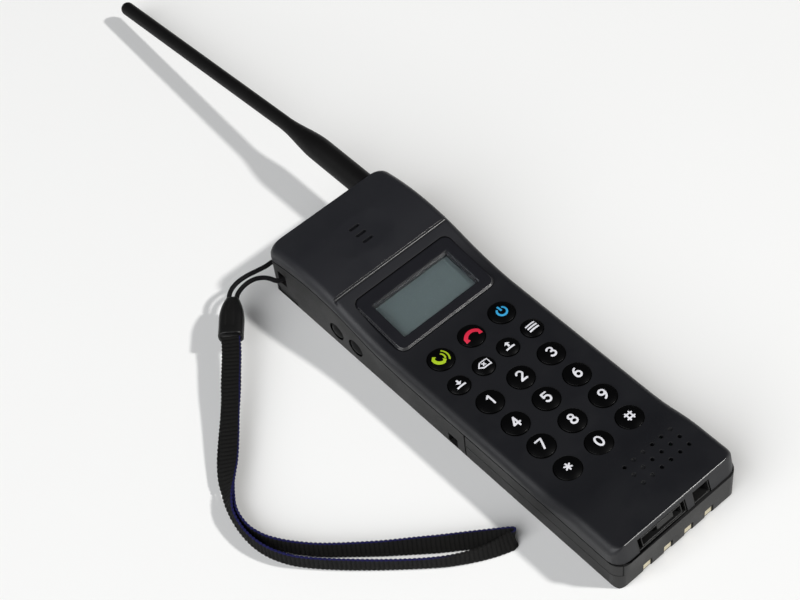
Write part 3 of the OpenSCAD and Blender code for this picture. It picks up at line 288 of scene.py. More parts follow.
def makeDustFall(plan):
    # small pale specks on what faces up
    inputs = {"Vector": "Vector", "Speck Size": "Float", "Amount": "Float"}
    group, inlet, outlet = newTree("dustFall", "ShaderNodeTree", inputs, {"Dust": "Float"})
    place = inlet.outputs["Vector"]
    scale = mathNode(group, "DIVIDE", 1.0, inlet.outputs["Speck Size"])
    specks = noiseNode(group, place, scale, plan["speckDetail"], "ShaderNodeTexVoronoi")
    small = rangeNode(group, specks, *plan["speckSpan"])
    where = noiseNode(group, place, plan["dustScale"])
    some = rangeNode(group, where, *plan["dustSpan"])
    facing = group.nodes.new("ShaderNodeNewGeometry").outputs["Normal"]
    up = rangeNode(group, axisOf(group, facing, "Z"), *plan["upSpan"])
    dust = mathNode(group, "MULTIPLY", mathNode(group, "MULTIPLY", small, some), up)
    feedAll(group, outlet, {"Dust": mathNode(group, "MULTIPLY", dust, inlet.outputs["Amount"])})
    return group


mouldGrain = makeMouldGrain(groupPlan)
handRub = makeHandRub(groupPlan)
dustFall = makeDustFall(groupPlan)
print("stage: shader groups made")


# materials
materials = {}


def newMaterial(name):
    materials[name] = bpy.data.materials.new(name)
    materials[name].use_nodes = True
    tree = materials[name].node_tree
    return tree, tree.nodes["Principled BSDF"]


def objectPlace(tree):
    return tree.nodes.new("ShaderNodeTexCoord").outputs["Object"]


def useGroup(tree, group, values):
    node = tree.nodes.new("ShaderNodeGroup")
    node.node_tree = group
    feedAll(tree, node, values)
    return node.outputs


def mixColour(tree, factor, first, second, blend="MIX"):
    node = tree.nodes.new("ShaderNodeMix")
    node.data_type = "RGBA"
    node.blend_type = blend
    for index, value in ((0, factor), (6, first), (7, second)):
        feed(tree, node.inputs[index], value)
    return node.outputs[2]


def dress(tree, shader, colour, look):
    feedAll(tree, shader, {"Base Color": colour, "Roughness": look["rough"]})
    feedAll(tree, shader, {"Specular IOR Level": look.get("gloss", 0.5)})


def bumpFrom(tree, shader, height, depth):
    node = addNode(tree, "ShaderNodeBump", {"Height": height, "Distance": depth})
    tree.links.new(node.outputs["Normal"], shader.inputs["Normal"])
    return node


# an edge counts where the rounded normal leaves the face's own: cosines of that angle
rimPlan = {"samples": 6, "flat": 0.997, "bent": 0.95}


def roundEdges(tree, bump, rough, look):
    # edges look rounded, and where the surface turns there it has its own roughness
    rim = addNode(tree, "ShaderNodeBevel", {"Radius": look["round"] * mm})
    rim.samples = rimPlan["samples"]
    tree.links.new(rim.outputs["Normal"], bump.inputs["Normal"])
    match = tree.nodes.new("ShaderNodeVectorMath")
    match.operation = "DOT_PRODUCT"
    tree.links.new(rim.outputs["Normal"], match.inputs[0])
    tree.links.new(tree.nodes.new("ShaderNodeNewGeometry").outputs["Normal"], match.inputs[1])
    bent = rangeNode(tree, match.outputs["Value"], rimPlan["flat"], rimPlan["bent"])
    return rangeNode(tree, bent, 0.0, 1.0, rough, look["edgeRough"]), bent


# what a finish has where it says nothing else, sizes in mm; polish is how much smoother rubbed patches are
plasticBase = {"patch": 20, "polish": 0.85, "speck": 0.7, "dust": 0.1, "dustColour": (0.4, 0.39, 0.37),
               "gloss": 0.5, "metal": 0.0}


def plastic(name, own):
    # a moulded finish: grain, rubbed patches and dust, each with this piece's own values
    look = plasticBase | own
    tree, shader = newMaterial(name)
    place = objectPlace(tree)
    grain = useGroup(tree, mouldGrain, {"Vector": place, "Pit Size": look["pit"] * mm})
    rub = useGroup(tree, handRub, {"Vector": place, "Patch Size": look["patch"] * mm})
    specks = {"Vector": place, "Speck Size": look["speck"] * mm, "Amount": look["dust"]}
    dust = useGroup(tree, dustFall, specks)["Dust"]
    body = mixColour(tree, grain["Tone"], look["colour"], look["tone"])
    if "paintedSheen" in look:
        # the ear end is painted paler: a painted sheen standing in for the brighter reflection of that end
        wearAndPaintedSheen = rangeNode(tree, axisOf(tree, place, "Y"), *(y * mm for y in look["paintedSheenSpan"]))
        body = mixColour(tree, wearAndPaintedSheen, body, look["paintedSheen"])
    body = mixColour(tree, dust, body, look["dustColour"])
    rubbed = look.get("rubbed", look["rough"] * look["polish"])
    rough = rangeNode(tree, rub["Rubbed"], 0.0, 1.0, look["rough"], rubbed)
    bump = bumpFrom(tree, shader, grain["Height"], look["depth"] * mm)
    if "round" in look:
        rough, bent = roundEdges(tree, bump, rough, look)
        # where the surface turns, the colour is painted darker: painted shade along edges, seams and hole
        # rims
        if "paintedEdgeShade" in look:
            body = mixColour(tree, bent, body, look["paintedEdgeShade"])
    dress(tree, shader, body, look | {"rough": rough})
    feedAll(tree, shader, {"Metallic": look["metal"]})


finishes = {
    # casingFront's ear end is painted paler along y, a painted sheen
    "casingFront": {"colour": (0.0064, 0.0067, 0.0088), "tone": (0.008, 0.0083, 0.0105),
                    "paintedSheen": (0.0138, 0.0142, 0.0174), "paintedSheenSpan": (12, 60),
                    "rough": 0.46, "rubbed": 0.38, "pit": 0.35, "depth": 0.02, "gloss": 0.42,
                    "round": 0.35, "edgeRough": 0.6, "paintedEdgeShade": (0.0015, 0.0015, 0.0018)},
    # the lips' colour is painted lighter than the casing: a painted highlight added to their real glints
    "lipPaintedHighlight": {"colour": (0.034, 0.034, 0.036), "tone": (0.05, 0.05, 0.051), "rough": 0.3, "rubbed": 0.26,
                  "pit": 0.5, "depth": 0.002, "dust": 0.05, "gloss": 1.0},
    "casingRear": {"colour": (0.0085, 0.0083, 0.0083), "tone": (0.0105, 0.0102, 0.01),
                   "rough": 0.5, "rubbed": 0.42, "pit": 0.35, "depth": 0.02, "dust": 0.08, "gloss": 0.29,
                   "round": 0.5, "edgeRough": 0.8, "paintedEdgeShade": (0.001, 0.001, 0.001)},
    "bezelGloss": {"colour": (0.0095, 0.0097, 0.0124), "tone": (0.0114, 0.0116, 0.0144),
                   "rough": 0.26, "rubbed": 0.2, "pit": 0.8, "depth": 0.004, "dust": 0.12,
                   "round": 0.35, "edgeRough": 0.2},
    "keyBlack": {"colour": (0.0012, 0.0012, 0.0014), "tone": (0.0016, 0.0016, 0.0018),
                 "rough": 0.34, "rubbed": 0.26, "pit": 0.3, "depth": 0.006, "dust": 0.08, "gloss": 0.12,
                 "round": 0.25, "edgeRough": 0.3},
    "sideKeyRubber": {"colour": (0.0035, 0.0035, 0.0037), "tone": (0.0045, 0.0045, 0.0045), "rough": 0.6,
                      "pit": 0.3, "depth": 0.01, "gloss": 0.1, "round": 0.2, "edgeRough": 0.45},
    "antennaRubber": {"colour": (0.0042, 0.004, 0.0042), "tone": (0.0052, 0.005, 0.005),
                      "rough": 0.5, "rubbed": 0.42, "pit": 0.5, "depth": 0.01, "dust": 0.06, "gloss": 0.14},
    "socketBlack": {"colour": (0.006, 0.006, 0.0062), "tone": (0.008, 0.008, 0.0078), "rough": 0.4,
                    "pit": 0.4, "depth": 0.006, "dust": 0.16, "gloss": 0.4,
                    "round": 0.15, "edgeRough": 0.25},
    "latchBlack": {"colour": (0.003, 0.003, 0.003), "tone": (0.004, 0.004, 0.004), "rough": 0.7,
                   "pit": 0.4, "depth": 0.006, "dust": 0.05, "gloss": 0.2},
    "capBlack": {"colour": (0.0048, 0.0048, 0.005), "tone": (0.006, 0.0059, 0.0058), "rough": 0.4,
                 "rubbed": 0.32, "pit": 0.3, "depth": 0.008, "gloss": 0.4, "round": 0.3, "edgeRough": 0.5},
    # painted shade for the faces inside seams and key holes
    "seamPaintedShade": {"colour": (0.0012, 0.0012, 0.0012), "tone": (0.0015, 0.0015, 0.0015), "rough": 0.8,
                  "pit": 0.5, "depth": 0.004, "dust": 0.03, "gloss": 0.05},
    "contactGold": {"colour": (0.78, 0.71, 0.52), "tone": (0.66, 0.6, 0.43), "rough": 0.4, "rubbed": 0.28,
                    "metal": 1.0, "pit": 0.4, "depth": 0.004, "dust": 0.2, "patch": 2},
}
# the inner finishes, each as its values in this order
innerOrder = ("colour", "tone", "rough", "pit", "depth", "metal")
innerLooks = {
    "palePlastic": ((0.5, 0.5, 0.47), (0.56, 0.56, 0.53), 0.5, 0.3, 0.006, 0.0),
    "speakerMetal": ((0.06, 0.06, 0.062), (0.08, 0.08, 0.08), 0.35, 0.3, 0.003, 1.0),
    "softRubber": ((0.02, 0.02, 0.02), (0.028, 0.028, 0.028), 0.75, 0.4, 0.01, 0.0),
    "tinPlate": ((0.55, 0.55, 0.54), (0.64, 0.64, 0.62), 0.32, 1, 0.004, 1.0),
    "keyMembrane": ((0.16, 0.17, 0.19), (0.2, 0.21, 0.23), 0.6, 0.3, 0.006, 0.0),
    "bushBrass": ((0.6, 0.43, 0.18), (0.68, 0.5, 0.22), 0.3, 0.6, 0.004, 1.0),
    "cellWrap": ((0.05, 0.16, 0.12), (0.06, 0.19, 0.14), 0.4, 0.8, 0.004, 0.0),
    "screwSteel": ((0.35, 0.35, 0.36), (0.46, 0.46, 0.47), 0.3, 0.5, 0.003, 1.0),
}
finishes |= {name: dict(zip(innerOrder, row)) for name, row in innerLooks.items()}
for name, look in finishes.items():
    plastic(name, look)

boardLook = {"colour": (0.012, 0.09, 0.045), "track": (0.02, 0.14, 0.07), "trackPitch": 1.8 * mm,
             "trackDepth": 0.02 * mm, "rough": 0.35}


def circuitBoard(look):
    # solder mask with faint tracks under it
    tree, shader = newMaterial("circuitBoard")
    tracks = noiseNode(tree, objectPlace(tree), 1 / look["trackPitch"], kind="ShaderNodeTexBrick")
    mask = mixColour(tree, tracks, look["colour"], look["track"])
    dress(tree, shader, mask, look)
    bumpFrom(tree, shader, tracks, look["trackDepth"])


circuitBoard(boardLook)

displayLook = {"colour": (0.043, 0.057, 0.06), "far": (0.052, 0.068, 0.071), "farScale": 30.0,
               "farDetail": 1.0, "farSpan": (0.35, 0.65), "cell": 0.7 * mm, "line": 0.012,
               "lineColour": (0.02, 0.03, 0.03), "rough": 0.45}


def displayGlass(look):
    # unlit segments: a grey-green film with a barely visible dot grid
    tree, shader = newMaterial("displayGrey")
    place = objectPlace(tree)
    slow = noiseNode(tree, place, look["farScale"], look["farDetail"])
    grid = noiseNode(tree, place, 1 / look["cell"], kind="ShaderNodeTexBrick")
    grid.node.offset = 0.0
    film = mixColour(tree, rangeNode(tree, slow, *look["farSpan"]), look["colour"], look["far"])
    line = mathNode(tree, "MULTIPLY", grid, look["line"])
    film = mixColour(tree, line, film, look["lineColour"])
    dress(tree, shader, film, look)


displayGlass(displayLook)

lensLook = {"tint": (0.95, 0.97, 0.97), "index": 1.02, "coatIndex": 1.49, "rough": 0.03, "smear": 2,
            "patch": 6 * mm}


def clearPane(look):
    # a thin clear pane: the light passes straight to the display, and its coat mirrors a little
    tree, shader = newMaterial("lensClear")
    rub = useGroup(tree, handRub, {"Vector": objectPlace(tree), "Patch Size": look["patch"]})
    rough = rangeNode(tree, rub["Rubbed"], 0, 1, look["rough"], look["rough"] * look["smear"])
    feedAll(tree, shader, {"Base Color": look["tint"], "Roughness": rough, "IOR": look["index"]})
    feedAll(tree, shader, {"Coat IOR": look["coatIndex"], "Coat Roughness": look["rough"]})
    feedAll(tree, shader, {"Transmission Weight": 1.0, "Coat Weight": 1.0})
    clear = tree.nodes.new("ShaderNodeBsdfTransparent")
    ray = tree.nodes.new("ShaderNodeLightPath")
    mix = tree.nodes.new("ShaderNodeMixShader")
    sources = (ray.outputs["Is Shadow Ray"], shader.outputs["BSDF"], clear.outputs["BSDF"])
    for socket, source in zip(mix.inputs, sources):
        tree.links.new(source, socket)
    tree.links.new(mix.outputs["Shader"], tree.nodes["Material Output"].inputs["Surface"])


clearPane(lensLook)

inkLook = {"wornScale": 1600.0, "wornDetail": 3.0, "wornSpan": (0.55, 0.75), "thin": 0.72, "rough": 0.5}
inkColours = {"inkWhite": (0.72, 0.72, 0.76), "inkGreen": (0.36, 0.52, 0.01),
              "inkRed": (0.62, 0.015, 0.05), "inkBlue": (0.03, 0.33, 0.62)}


def inkMaterial(name, colour, look):
    # printed ink, slightly thin in places
    tree, shader = newMaterial(name)
    wearAndPaintedSheen = noiseNode(tree, objectPlace(tree), look["wornScale"], look["wornDetail"])
    thin = tuple(c * look["thin"] for c in colour)
    printed = mixColour(tree, rangeNode(tree, wearAndPaintedSheen, *look["wornSpan"]), colour, thin)
    dress(tree, shader, printed, look)


for name, colour in inkColours.items():
    inkMaterial(name, colour, inkLook)


def attributeNode(tree, label):
    node = tree.nodes.new("ShaderNodeAttribute")
    node.attribute_name = label
    return node.outputs["Fac"]


webbingLook = {"yarn": (0.0046, 0.0044, 0.0042), "thread": (0.0086, 0.0083, 0.0079), "threads": 46,
               "fuzzScale": 5000.0, "weaveSpan": (-0.4, 1.6), "weaveDepth": 0.03 * mm,
               "ribPitch": 1.5 * mm, "paintedValleyShade": (0.0, 0.7, 0.3, 1.0),
               "selvedge": (0.008, 0.008, 0.06), "edge": 0.84, "edgeSoft": 0.1, "fade": (138 * mm, 150 * mm),
               "rough": 0.85, "gloss": 0.18}


def webbingCloth(look):
    # fine lengthwise threads over the ribs, painted shade in the valleys between the ribs, and one coloured
    # selvedge
    tree, shader = newMaterial("webbingBlack")
    across = attributeNode(tree, "across")
    along = attributeNode(tree, "along")
    thread = mathNode(tree, "SINE", mathNode(tree, "MULTIPLY", across, math.pi * look["threads"]))
    turns = mathNode(tree, "MULTIPLY", along, math.pi / look["ribPitch"])
    rib = mathNode(tree, "ABSOLUTE", mathNode(tree, "SINE", turns))
    fuzz = noiseNode(tree, objectPlace(tree), look["fuzzScale"])
    weave = mathNode(tree, "ADD", thread, fuzz)
    cloth = mixColour(tree, rangeNode(tree, weave, *look["weaveSpan"]), look["yarn"], look["thread"])
    # the valleys between the ribs are painted darker: painted shade
    cloth = mixColour(tree, 1.0, cloth, rangeNode(tree, rib, *look["paintedValleyShade"]), "MULTIPLY")
    side = rangeNode(tree, across, look["edge"], look["edge"] + look["edgeSoft"])
    side = mathNode(tree, "MULTIPLY", side, rangeNode(tree, along, *look["fade"], 1.0, 0.0))
    cloth = mixColour(tree, side, cloth, look["selvedge"])
    dress(tree, shader, cloth, look)
    bumpFrom(tree, shader, weave, look["weaveDepth"])


cordLook = {"yarn": (0.0022, 0.002, 0.0022), "light": (0.0065, 0.006, 0.007), "turns": 6, "pitch": 1.1 * mm,
            "strandSpan": (-0.2, 1.0), "strandDepth": 0.06 * mm, "rough": 0.6, "gloss": 0.15}


def cordBraid(look):
    # two sets of strands that cross round the cord, their crowns painted lighter and the gaps between them
    # darker: painted highlight and shade
    tree, shader = newMaterial("cordBraid")
    around = mathNode(tree, "MULTIPLY", attributeNode(tree, "across"), 2 * math.pi * look["turns"])
    along = mathNode(tree, "MULTIPLY", attributeNode(tree, "along"), 2 * math.pi / look["pitch"])
    one = mathNode(tree, "SINE", mathNode(tree, "ADD", along, around))
    two = mathNode(tree, "SINE", mathNode(tree, "SUBTRACT", along, around))
    strand = mathNode(tree, "MAXIMUM", one, two)
    # painted highlight on the strand crowns, painted shade between them
    yarn = mixColour(tree, rangeNode(tree, strand, *look["strandSpan"]), look["yarn"], look["light"])
    dress(tree, shader, yarn, look)
    bumpFrom(tree, shader, strand, look["strandDepth"])


webbingCloth(webbingLook)
cordBraid(cordLook)
print("stage: materials made,", len(materials))

# wrist strap: the cap's place and turn, then the routes of the cord and of the folded webbing, in mm
strapPlan = {
    "capPlace": Vector((-49.8, 79.8, 9.7)), "capTurn": -40.2, "capLength": 17.0,
    "cordWidth": 1.7, "cordSide": 1.4, "cordSides": 14, "cordStep": 0.5, "cordSpan": 12,
    "webWidth": 6.6, "webThick": 0.8, "layerGap": 0.45, "webSpan": 8, "foldSteps": 12,
    "ribPitch": 1.5, "ribHeight": 0.3, "ribBase": 0.6, "ringsPerRib": 8,
    "flatPoints": 8, "edgePoints": 3, "floorGap": 0.02,
}
capTurn = math.radians(strapPlan["capTurn"])
nose = Vector((-math.sin(capTurn), math.cos(capTurn), 0))
besideNose = Vector((math.cos(capTurn), math.sin(capTurn), 0))


def capPoint(x, y):
    return strapPlan["capPlace"] + besideNose * x + nose * y


halfCap = strapPlan["capLength"] / 2
cordRoute = [
    capPoint(-strapPlan["cordSide"], halfCap),
    (-43.6, 88.8, 9.9), (-41.4, 89.9, 10.2), (-38.4, 90.3, 10.6), (-34.8, 90, 10.9), (-31, 89, 11.2),
    (-27.6, 88.2, 11.4), (-24.6, 88, 11.5), (-22.3, 86.9, 11.5), (-21.6, 84.4, 11.4), (-21.9, 81.2, 11.4),
    (-23.6, 79.5, 11.4), (-26.2, 79.1, 11.4), (-28.7, 80.2, 11.3), (-29.8, 82.7, 11.2), (-31.2, 84.9, 11.1),
    (-33.5, 86.6, 11), (-36.4, 87.4, 10.7), (-39.3, 87.3, 10.3), (-41.7, 86.6, 9.9),
    capPoint(strapPlan["cordSide"], halfCap),
]
# both runs of the webbing from the cap to the end of the loop: x, y, z and roll in degrees
webNear = [
    (-58.8, 68.5, 10, 0), (-63, 63.4, 9.6, 0), (-67.1, 58.6, 9.1, 2), (-71, 53.7, 8.5, 4),
    (-75.9, 48, 7.6, 6), (-80.7, 42.2, 6.9, 8), (-85.6, 36.5, 6.2, 14), (-90.4, 31.3, 5.7, 30),
    (-94.6, 25.9, 5, 58), (-97.6, 19.7, 4.2, 80), (-98.9, 12.4, 3.6, 87), (-98.6, 5.4, 3.5, 88),
    (-96.7, -1.2, 3.5, 89), (-93.4, -7.4, 3.6, 90), (-88.4, -13.6, 3.6, 90), (-82, -20.4, 3.6, 90),
    (-74.7, -27.5, 3.5, 92), (-66.7, -34.8, 3.5, 93), (-59.2, -41, 3.6, 90), (-52.2, -45.3, 3.5, 84),
    (-45.6, -48.2, 3.4, 72), (-39.4, -49.7, 2.9, 52),
]
webFar = [
    (-58.8, 68.5, 8.8, 0), (-63, 63.4, 8.4, 0), (-66.9, 58.6, 7.9, 2), (-71, 53.9, 7.3, 4),
    (-76.1, 48.4, 6.4, 6), (-81.3, 43, 5.5, 8), (-86.4, 37.5, 4.6, 14), (-90.8, 31.7, 3.9, 30),
    (-94, 25.7, 3.6, 58), (-96.4, 19.3, 3.8, 80), (-97.1, 12.4, 3.6, 87), (-95.8, 5.9, 3.5, 86),
    (-92.6, -0.3, 3.5, 84), (-88.3, -6.2, 3.5, 82), (-83.6, -11.4, 3.5, 80), (-77, -17.5, 3.5, 78),
    (-69.8, -23.8, 3.4, 73), (-62.1, -29.9, 3.2, 65), (-55.8, -34.9, 3.1, 60), (-49.3, -39.7, 3, 58),
    (-43.4, -44.2, 3, 55), (-37.7, -48.5, 2.7, 48),
]

# the cap's form along its length: a bullet with two flutes on each face and an open mouth
# rows at the mouth and the nose: the ring's share of the section, and how far it lies inside the end
capPlan = {
    "wide": 8.8, "thick": 6.4, "arch": 20.0, "bend": -17 / 16, "noseShare": 0.55, "square": 3.2,
    "rings": 44, "sides": 72, "limit": 40,
    "flute": 0.4, "fluteAt": 1.35, "fluteWide": 0.42, "fluteFrom": -6.5, "fluteTo": 5.5,
    "fluteFade": 1.5, "fluteFace": 0.6,
    "mouthRound": 0.25, "mouth": [(0.84, 0.9), (0.84, 0), (0.96, 0)],
    "noseRound": 0.55, "nose": [(0.9, 0.25), (0.7, 0.06), (0.35, 0)],
}


def capRing(plan, y, grow, place):
    past = max(0, y - plan["bend"])
    wide = math.sqrt(plan["arch"]**2 - past**2) - plan["arch"] + plan["wide"] / 2
    thick = plan["thick"] / 2 * (1 - (1 - plan["noseShare"]) * (past / (halfCap - plan["bend"]))**2)
    fade = min(1, max(0, min(y - plan["fluteFrom"], plan["fluteTo"] - y)) / plan["fluteFade"])
    ring = []
    for k in range(plan["sides"]):
        a = -2 * math.pi * k / plan["sides"]
        x, z = (math.copysign(abs(c)**(2 / plan["square"]), c) * grow for c in (math.cos(a), math.sin(a)))
        x, z = x * wide, z * thick
        dent = sum(math.exp(-((x - side * plan["fluteAt"]) / plan["fluteWide"])**2) for side in (-1, 1))
        if abs(z) > thick * plan["fluteFace"]:
            z -= math.copysign(plan["flute"] * dent * fade, z)
        point = capPoint(x, place)
        ring.append(Vector((point.x, point.y, point.z + z)) * mm)
    return ring


def makeCap(plan):
    low, high = plan["mouthRound"] - halfCap, halfCap - plan["noseRound"]
    middle = [low + (high - low) * k / plan["rings"] for k in range(plan["rings"] + 1)]
    rows = [(-halfCap, grow, inside - halfCap) for grow, inside in plan["mouth"]]
    rows += [(y, 1.0, y) for y in middle]
    rows += [(halfCap, grow, halfCap - inside) for grow, inside in plan["nose"]]
    rings = [capRing(plan, *row) for row in rows]
    turns = [k / plan["sides"] for k in range(plan["sides"])]
    cap = sweep("strap_cap_finished", rings, [row[2] * mm for row in rows], turns)
    cap.data.set_sharp_from_angle(angle=math.radians(plan["limit"]))
    cap.data.materials.append(materials["capBlack"])
    return placePiece(cap, bodyOf["strap_cap"], ["strap_cap"])


def makeCord(plan, cap):
    rows, length, lengths = evenSteps(smoothPath(cordRoute, plan["cordSpan"]), plan["cordStep"])
    rows = [row * mm for row in rows]
    ways = tangents(rows)
    side = ways[0].orthogonal().normalized()
    count = plan["cordSides"]
    angles = [2 * math.pi * k / count for k in range(count)]
    radius = plan["cordWidth"] / 2 * mm
    rings = []
    for point, way in zip(rows, ways):
        side = (side - way * side.dot(way)).normalized()
        over = way.cross(side)
        rings.append([point + (side * math.cos(a) + over * math.sin(a)) * radius for a in angles])
    cord = sweep("strap_cord_braid", rings, lengths, [k / count for k in range(count)])
    cord.data.materials.append(materials["cordBraid"])
    placePiece(cord, bodyOf["strap_cord"], ["strap_cord"])
    print("stage: strap cord,", round(length, 1), "mm")


def webbingRun(plan, route, lift):
    # one run's centre line, each row with its across direction, and the way it ends
    start = capPoint(0, -halfCap)
    line = smoothPath([(start.x, start.y, start.z + lift, 0)] + route, plan["webSpan"])
    ways = tangents(line)
    ways[0] = -nose
    up = Vector((0, 0, 1))
    rows = []
    for row, way in zip(line, ways):
        roll = math.radians(row[3])
        across = up.cross(way).normalized() * math.cos(roll) + up * math.sin(roll)
        rows.append((*row[:3], *(across - way * across.dot(way)).normalized()))
    return rows, ways[-1]


def webbingLayers(plan):
    # the near run out to the middle of the fold, and the far run back from there
    step = (plan["webThick"] + plan["layerGap"]) / 2
    near, nearWay = webbingRun(plan, webNear, step)
    far, farWay = webbingRun(plan, webFar, -step)
    side = (Vector(near[-1][:3]) - Vector(far[-1][:3])) / 2
    middle = (Vector(near[-1][:3]) + Vector(far[-1][:3])) / 2
    across = (Vector(near[-1][3:]) + Vector(far[-1][3:])).normalized()
    way = (nearWay + farWay).normalized() * side.length
    fold = []
    for k in range(1, plan["foldSteps"]):
        a = math.pi * k / plan["foldSteps"]
        fold.append((*(middle + side * math.cos(a) + way * math.sin(a)), *across))
    half = len(fold) // 2
    return near + fold[: half + 1], fold[half:] + far[::-1]


def webbingProfile(plan):
    # across and thickness of one ring, going round once
    half, deep = plan["webWidth"] / 2, plan["webThick"] / 2
    flat = half - deep
    steps = [flat * (1 - 2 * k / (plan["flatPoints"] - 1)) for k in range(plan["flatPoints"])]
    bends = [math.pi * (k + 1) / (plan["edgePoints"] + 1) for k in range(plan["edgePoints"])]
    ring = [(u, deep) for u in steps]
    ring += [(-flat - deep * math.sin(b), deep * math.cos(b)) for b in bends]
    ring += [(-u, -deep) for u in steps]
    ring += [(flat + deep * math.sin(b), -deep * math.cos(b)) for b in bends]
    return ring


def makeRibTree():
    # lifts the surface into cross ribs at an even pitch along the webbing
    sizes = {"Rib Pitch": "Float", "Rib Height": "Float", "Rib Base": "Float", "Cloth": "Material"}
    shape = {"Geometry": "Geometry"}
    tree, inlet, outlet = newTree("webbingRibs", "GeometryNodeTree", shape | sizes, shape)
    along = tree.nodes.new("GeometryNodeInputNamedAttribute")
    along.inputs["Name"].default_value = "along"
    turns = mathNode(tree, "DIVIDE", along.outputs["Attribute"], inlet.outputs["Rib Pitch"])
    wave = mathNode(tree, "ABSOLUTE", mathNode(tree, "SINE", mathNode(tree, "MULTIPLY", turns, math.pi)))
    wave = mathNode(tree, "SUBTRACT", wave, inlet.outputs["Rib Base"])
    lift = mathNode(tree, "MULTIPLY", wave, inlet.outputs["Rib Height"])
    normal = tree.nodes.new("GeometryNodeInputNormal").outputs["Normal"]
    scale = addNode(tree, "ShaderNodeVectorMath", {"Vector": normal, "Scale": lift}, "SCALE")
    geometry = inlet.outputs["Geometry"]
    for kind, values in (("SetPosition", {"Offset": scale.outputs["Vector"]}), ("RealizeInstances", {}),
                         ("SetMaterial", {"Material": inlet.outputs["Cloth"]})):
        geometry = addNode(tree, "GeometryNode" + kind, {"Geometry": geometry} | values).outputs["Geometry"]
    feedAll(tree, outlet, {"Geometry": geometry})
    return tree


def makeWebbing(plan):
    ribs = makeRibTree()
    profile = webbingProfile(plan)
    for name, line in zip(("strap_webbing_near", "strap_webbing_far"), webbingLayers(plan)):
        rows, length, lengths = evenSteps(line, plan["ribPitch"] / plan["ringsPerRib"])
        ways = tangents(rows)
        rings = []
        for row, way in zip(rows, ways):
            across = Vector(row[3:6])
            across = (across - way * across.dot(way)).normalized()
            out = way.cross(across)
            rings.append([(Vector(row[:3]) + across * u + out * v) * mm for u, v in profile])
        run = sweep(name, rings, lengths, [u / (plan["webWidth"] / 2) for u, v in profile])
        runTree(run, ribs, {"Rib Pitch": plan["ribPitch"] * mm, "Rib Height": plan["ribHeight"] * mm,
                            "Rib Base": plan["ribBase"], "Cloth": materials["webbingBlack"]})
        for v in run.data.vertices:
            v.co.z = max(v.co.z, plan["floorGap"] * mm)
        placePiece(run, bodyOf["strap_webbing"], ["strap_webbing"])
        print("stage:", name, round(length, 1), "mm")


makeCord(strapPlan, makeCap(capPlan))
makeWebbing(strapPlan)

# rigid pieces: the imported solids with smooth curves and, where their mesh has room for it, eased edges
# what a piece has where it says nothing else, in mm and degrees
edgeBase = {"edge": 0, "limit": 32, "flat": 0.6, "merge": 0.001, "rim": 1000, "lift": 0.01,
            "lipReach": 0, "lipTilt": 0, "slack": 0.03}
edgePlan = {
    "front_shell": {"skin": "casingFront", "gaps": 0.7, "lipSkin": "lipPaintedHighlight", "lipRound": 0.3,
                    "lips": [(51.0, 24.21), (50.3, 23.81), (-83.3, 20.8)]},
    "rear_shell": {"skin": "casingRear", "gaps": 0.7},
    "display_bezel": {"skin": "bezelGloss", "lipSkin": "lipPaintedHighlight", "lipRound": 0.17,
                      "lips": [(20.75, 19.52), (20.32, 18.96)], "lipReach": 2.9, "lipTilt": 8},
    "battery_case": {"skin": "casingRear", "gaps": 0.7, "rim": 2.5},
    "battery_lid": {"skin": "casingRear", "gaps": 0.7, "rim": 2.5},
    "antenna": {"skin": "antennaRubber", "limit": 50},
    "side_key_upper": {"skin": "sideKeyRubber", "edge": 0.1},
    "side_key_lower": {"skin": "sideKeyRubber", "edge": 0.1},
    "accessory_connector": {"skin": "socketBlack", "edge": 0.1},
    "power_jack": {"skin": "socketBlack", "edge": 0.1},
    "charge_contacts": {"skin": "contactGold", "edge": 0.12, "drop": 1.2},
    "battery_latch": {"skin": "latchBlack", "edge": 0.2},
}
edgePlan |= {name: {"skin": "keyBlack"} for name in cadNodes if name.startswith("key_")}
# the third slot is painted shade: black painted into seams and key holes, where shade falls
lipSlot, paintedShadeSlot = 1, 2  # a piece's materials are its skin, its lips' and the seams'


def roundLips(form, plan):
    # edges that start at the given y and z and follow the tilt get a round lip with its own finish, painted
    # lighter as a painted highlight
    rise = math.tan(math.radians(plan["lipTilt"]))
    slack = plan["slack"]

    def onLip(point, start, z):
        reach = point.y / mm - start
        inside = -slack < reach < plan["lipReach"] + slack
        return inside and abs(z + reach * rise - point.z / mm) < slack

    chosen = [edge for edge in form.edges for lip in plan["lips"]
              if all(onLip(v.co, *lip) for v in edge.verts)]
    bmesh.ops.bevel(form, geom=chosen, offset=plan["lipRound"] * mm, offset_type="OFFSET", segments=4,
                    profile=0.5, affect="EDGES", clamp_overlap=False, material=lipSlot)


# the lower corners of the front: its end, its corner and the shoulder that shrinks towards the end, in mm
cornerPlan = {"node": "front_shell", "end": -85.5, "half": 27.0, "radius": 5.0, "lean": 2.2, "low": 14.1,
              "high": 20.8, "shoulder": 3.2, "edge": 0.5, "hold": 3, "below": -0.01, "off": 0.05}


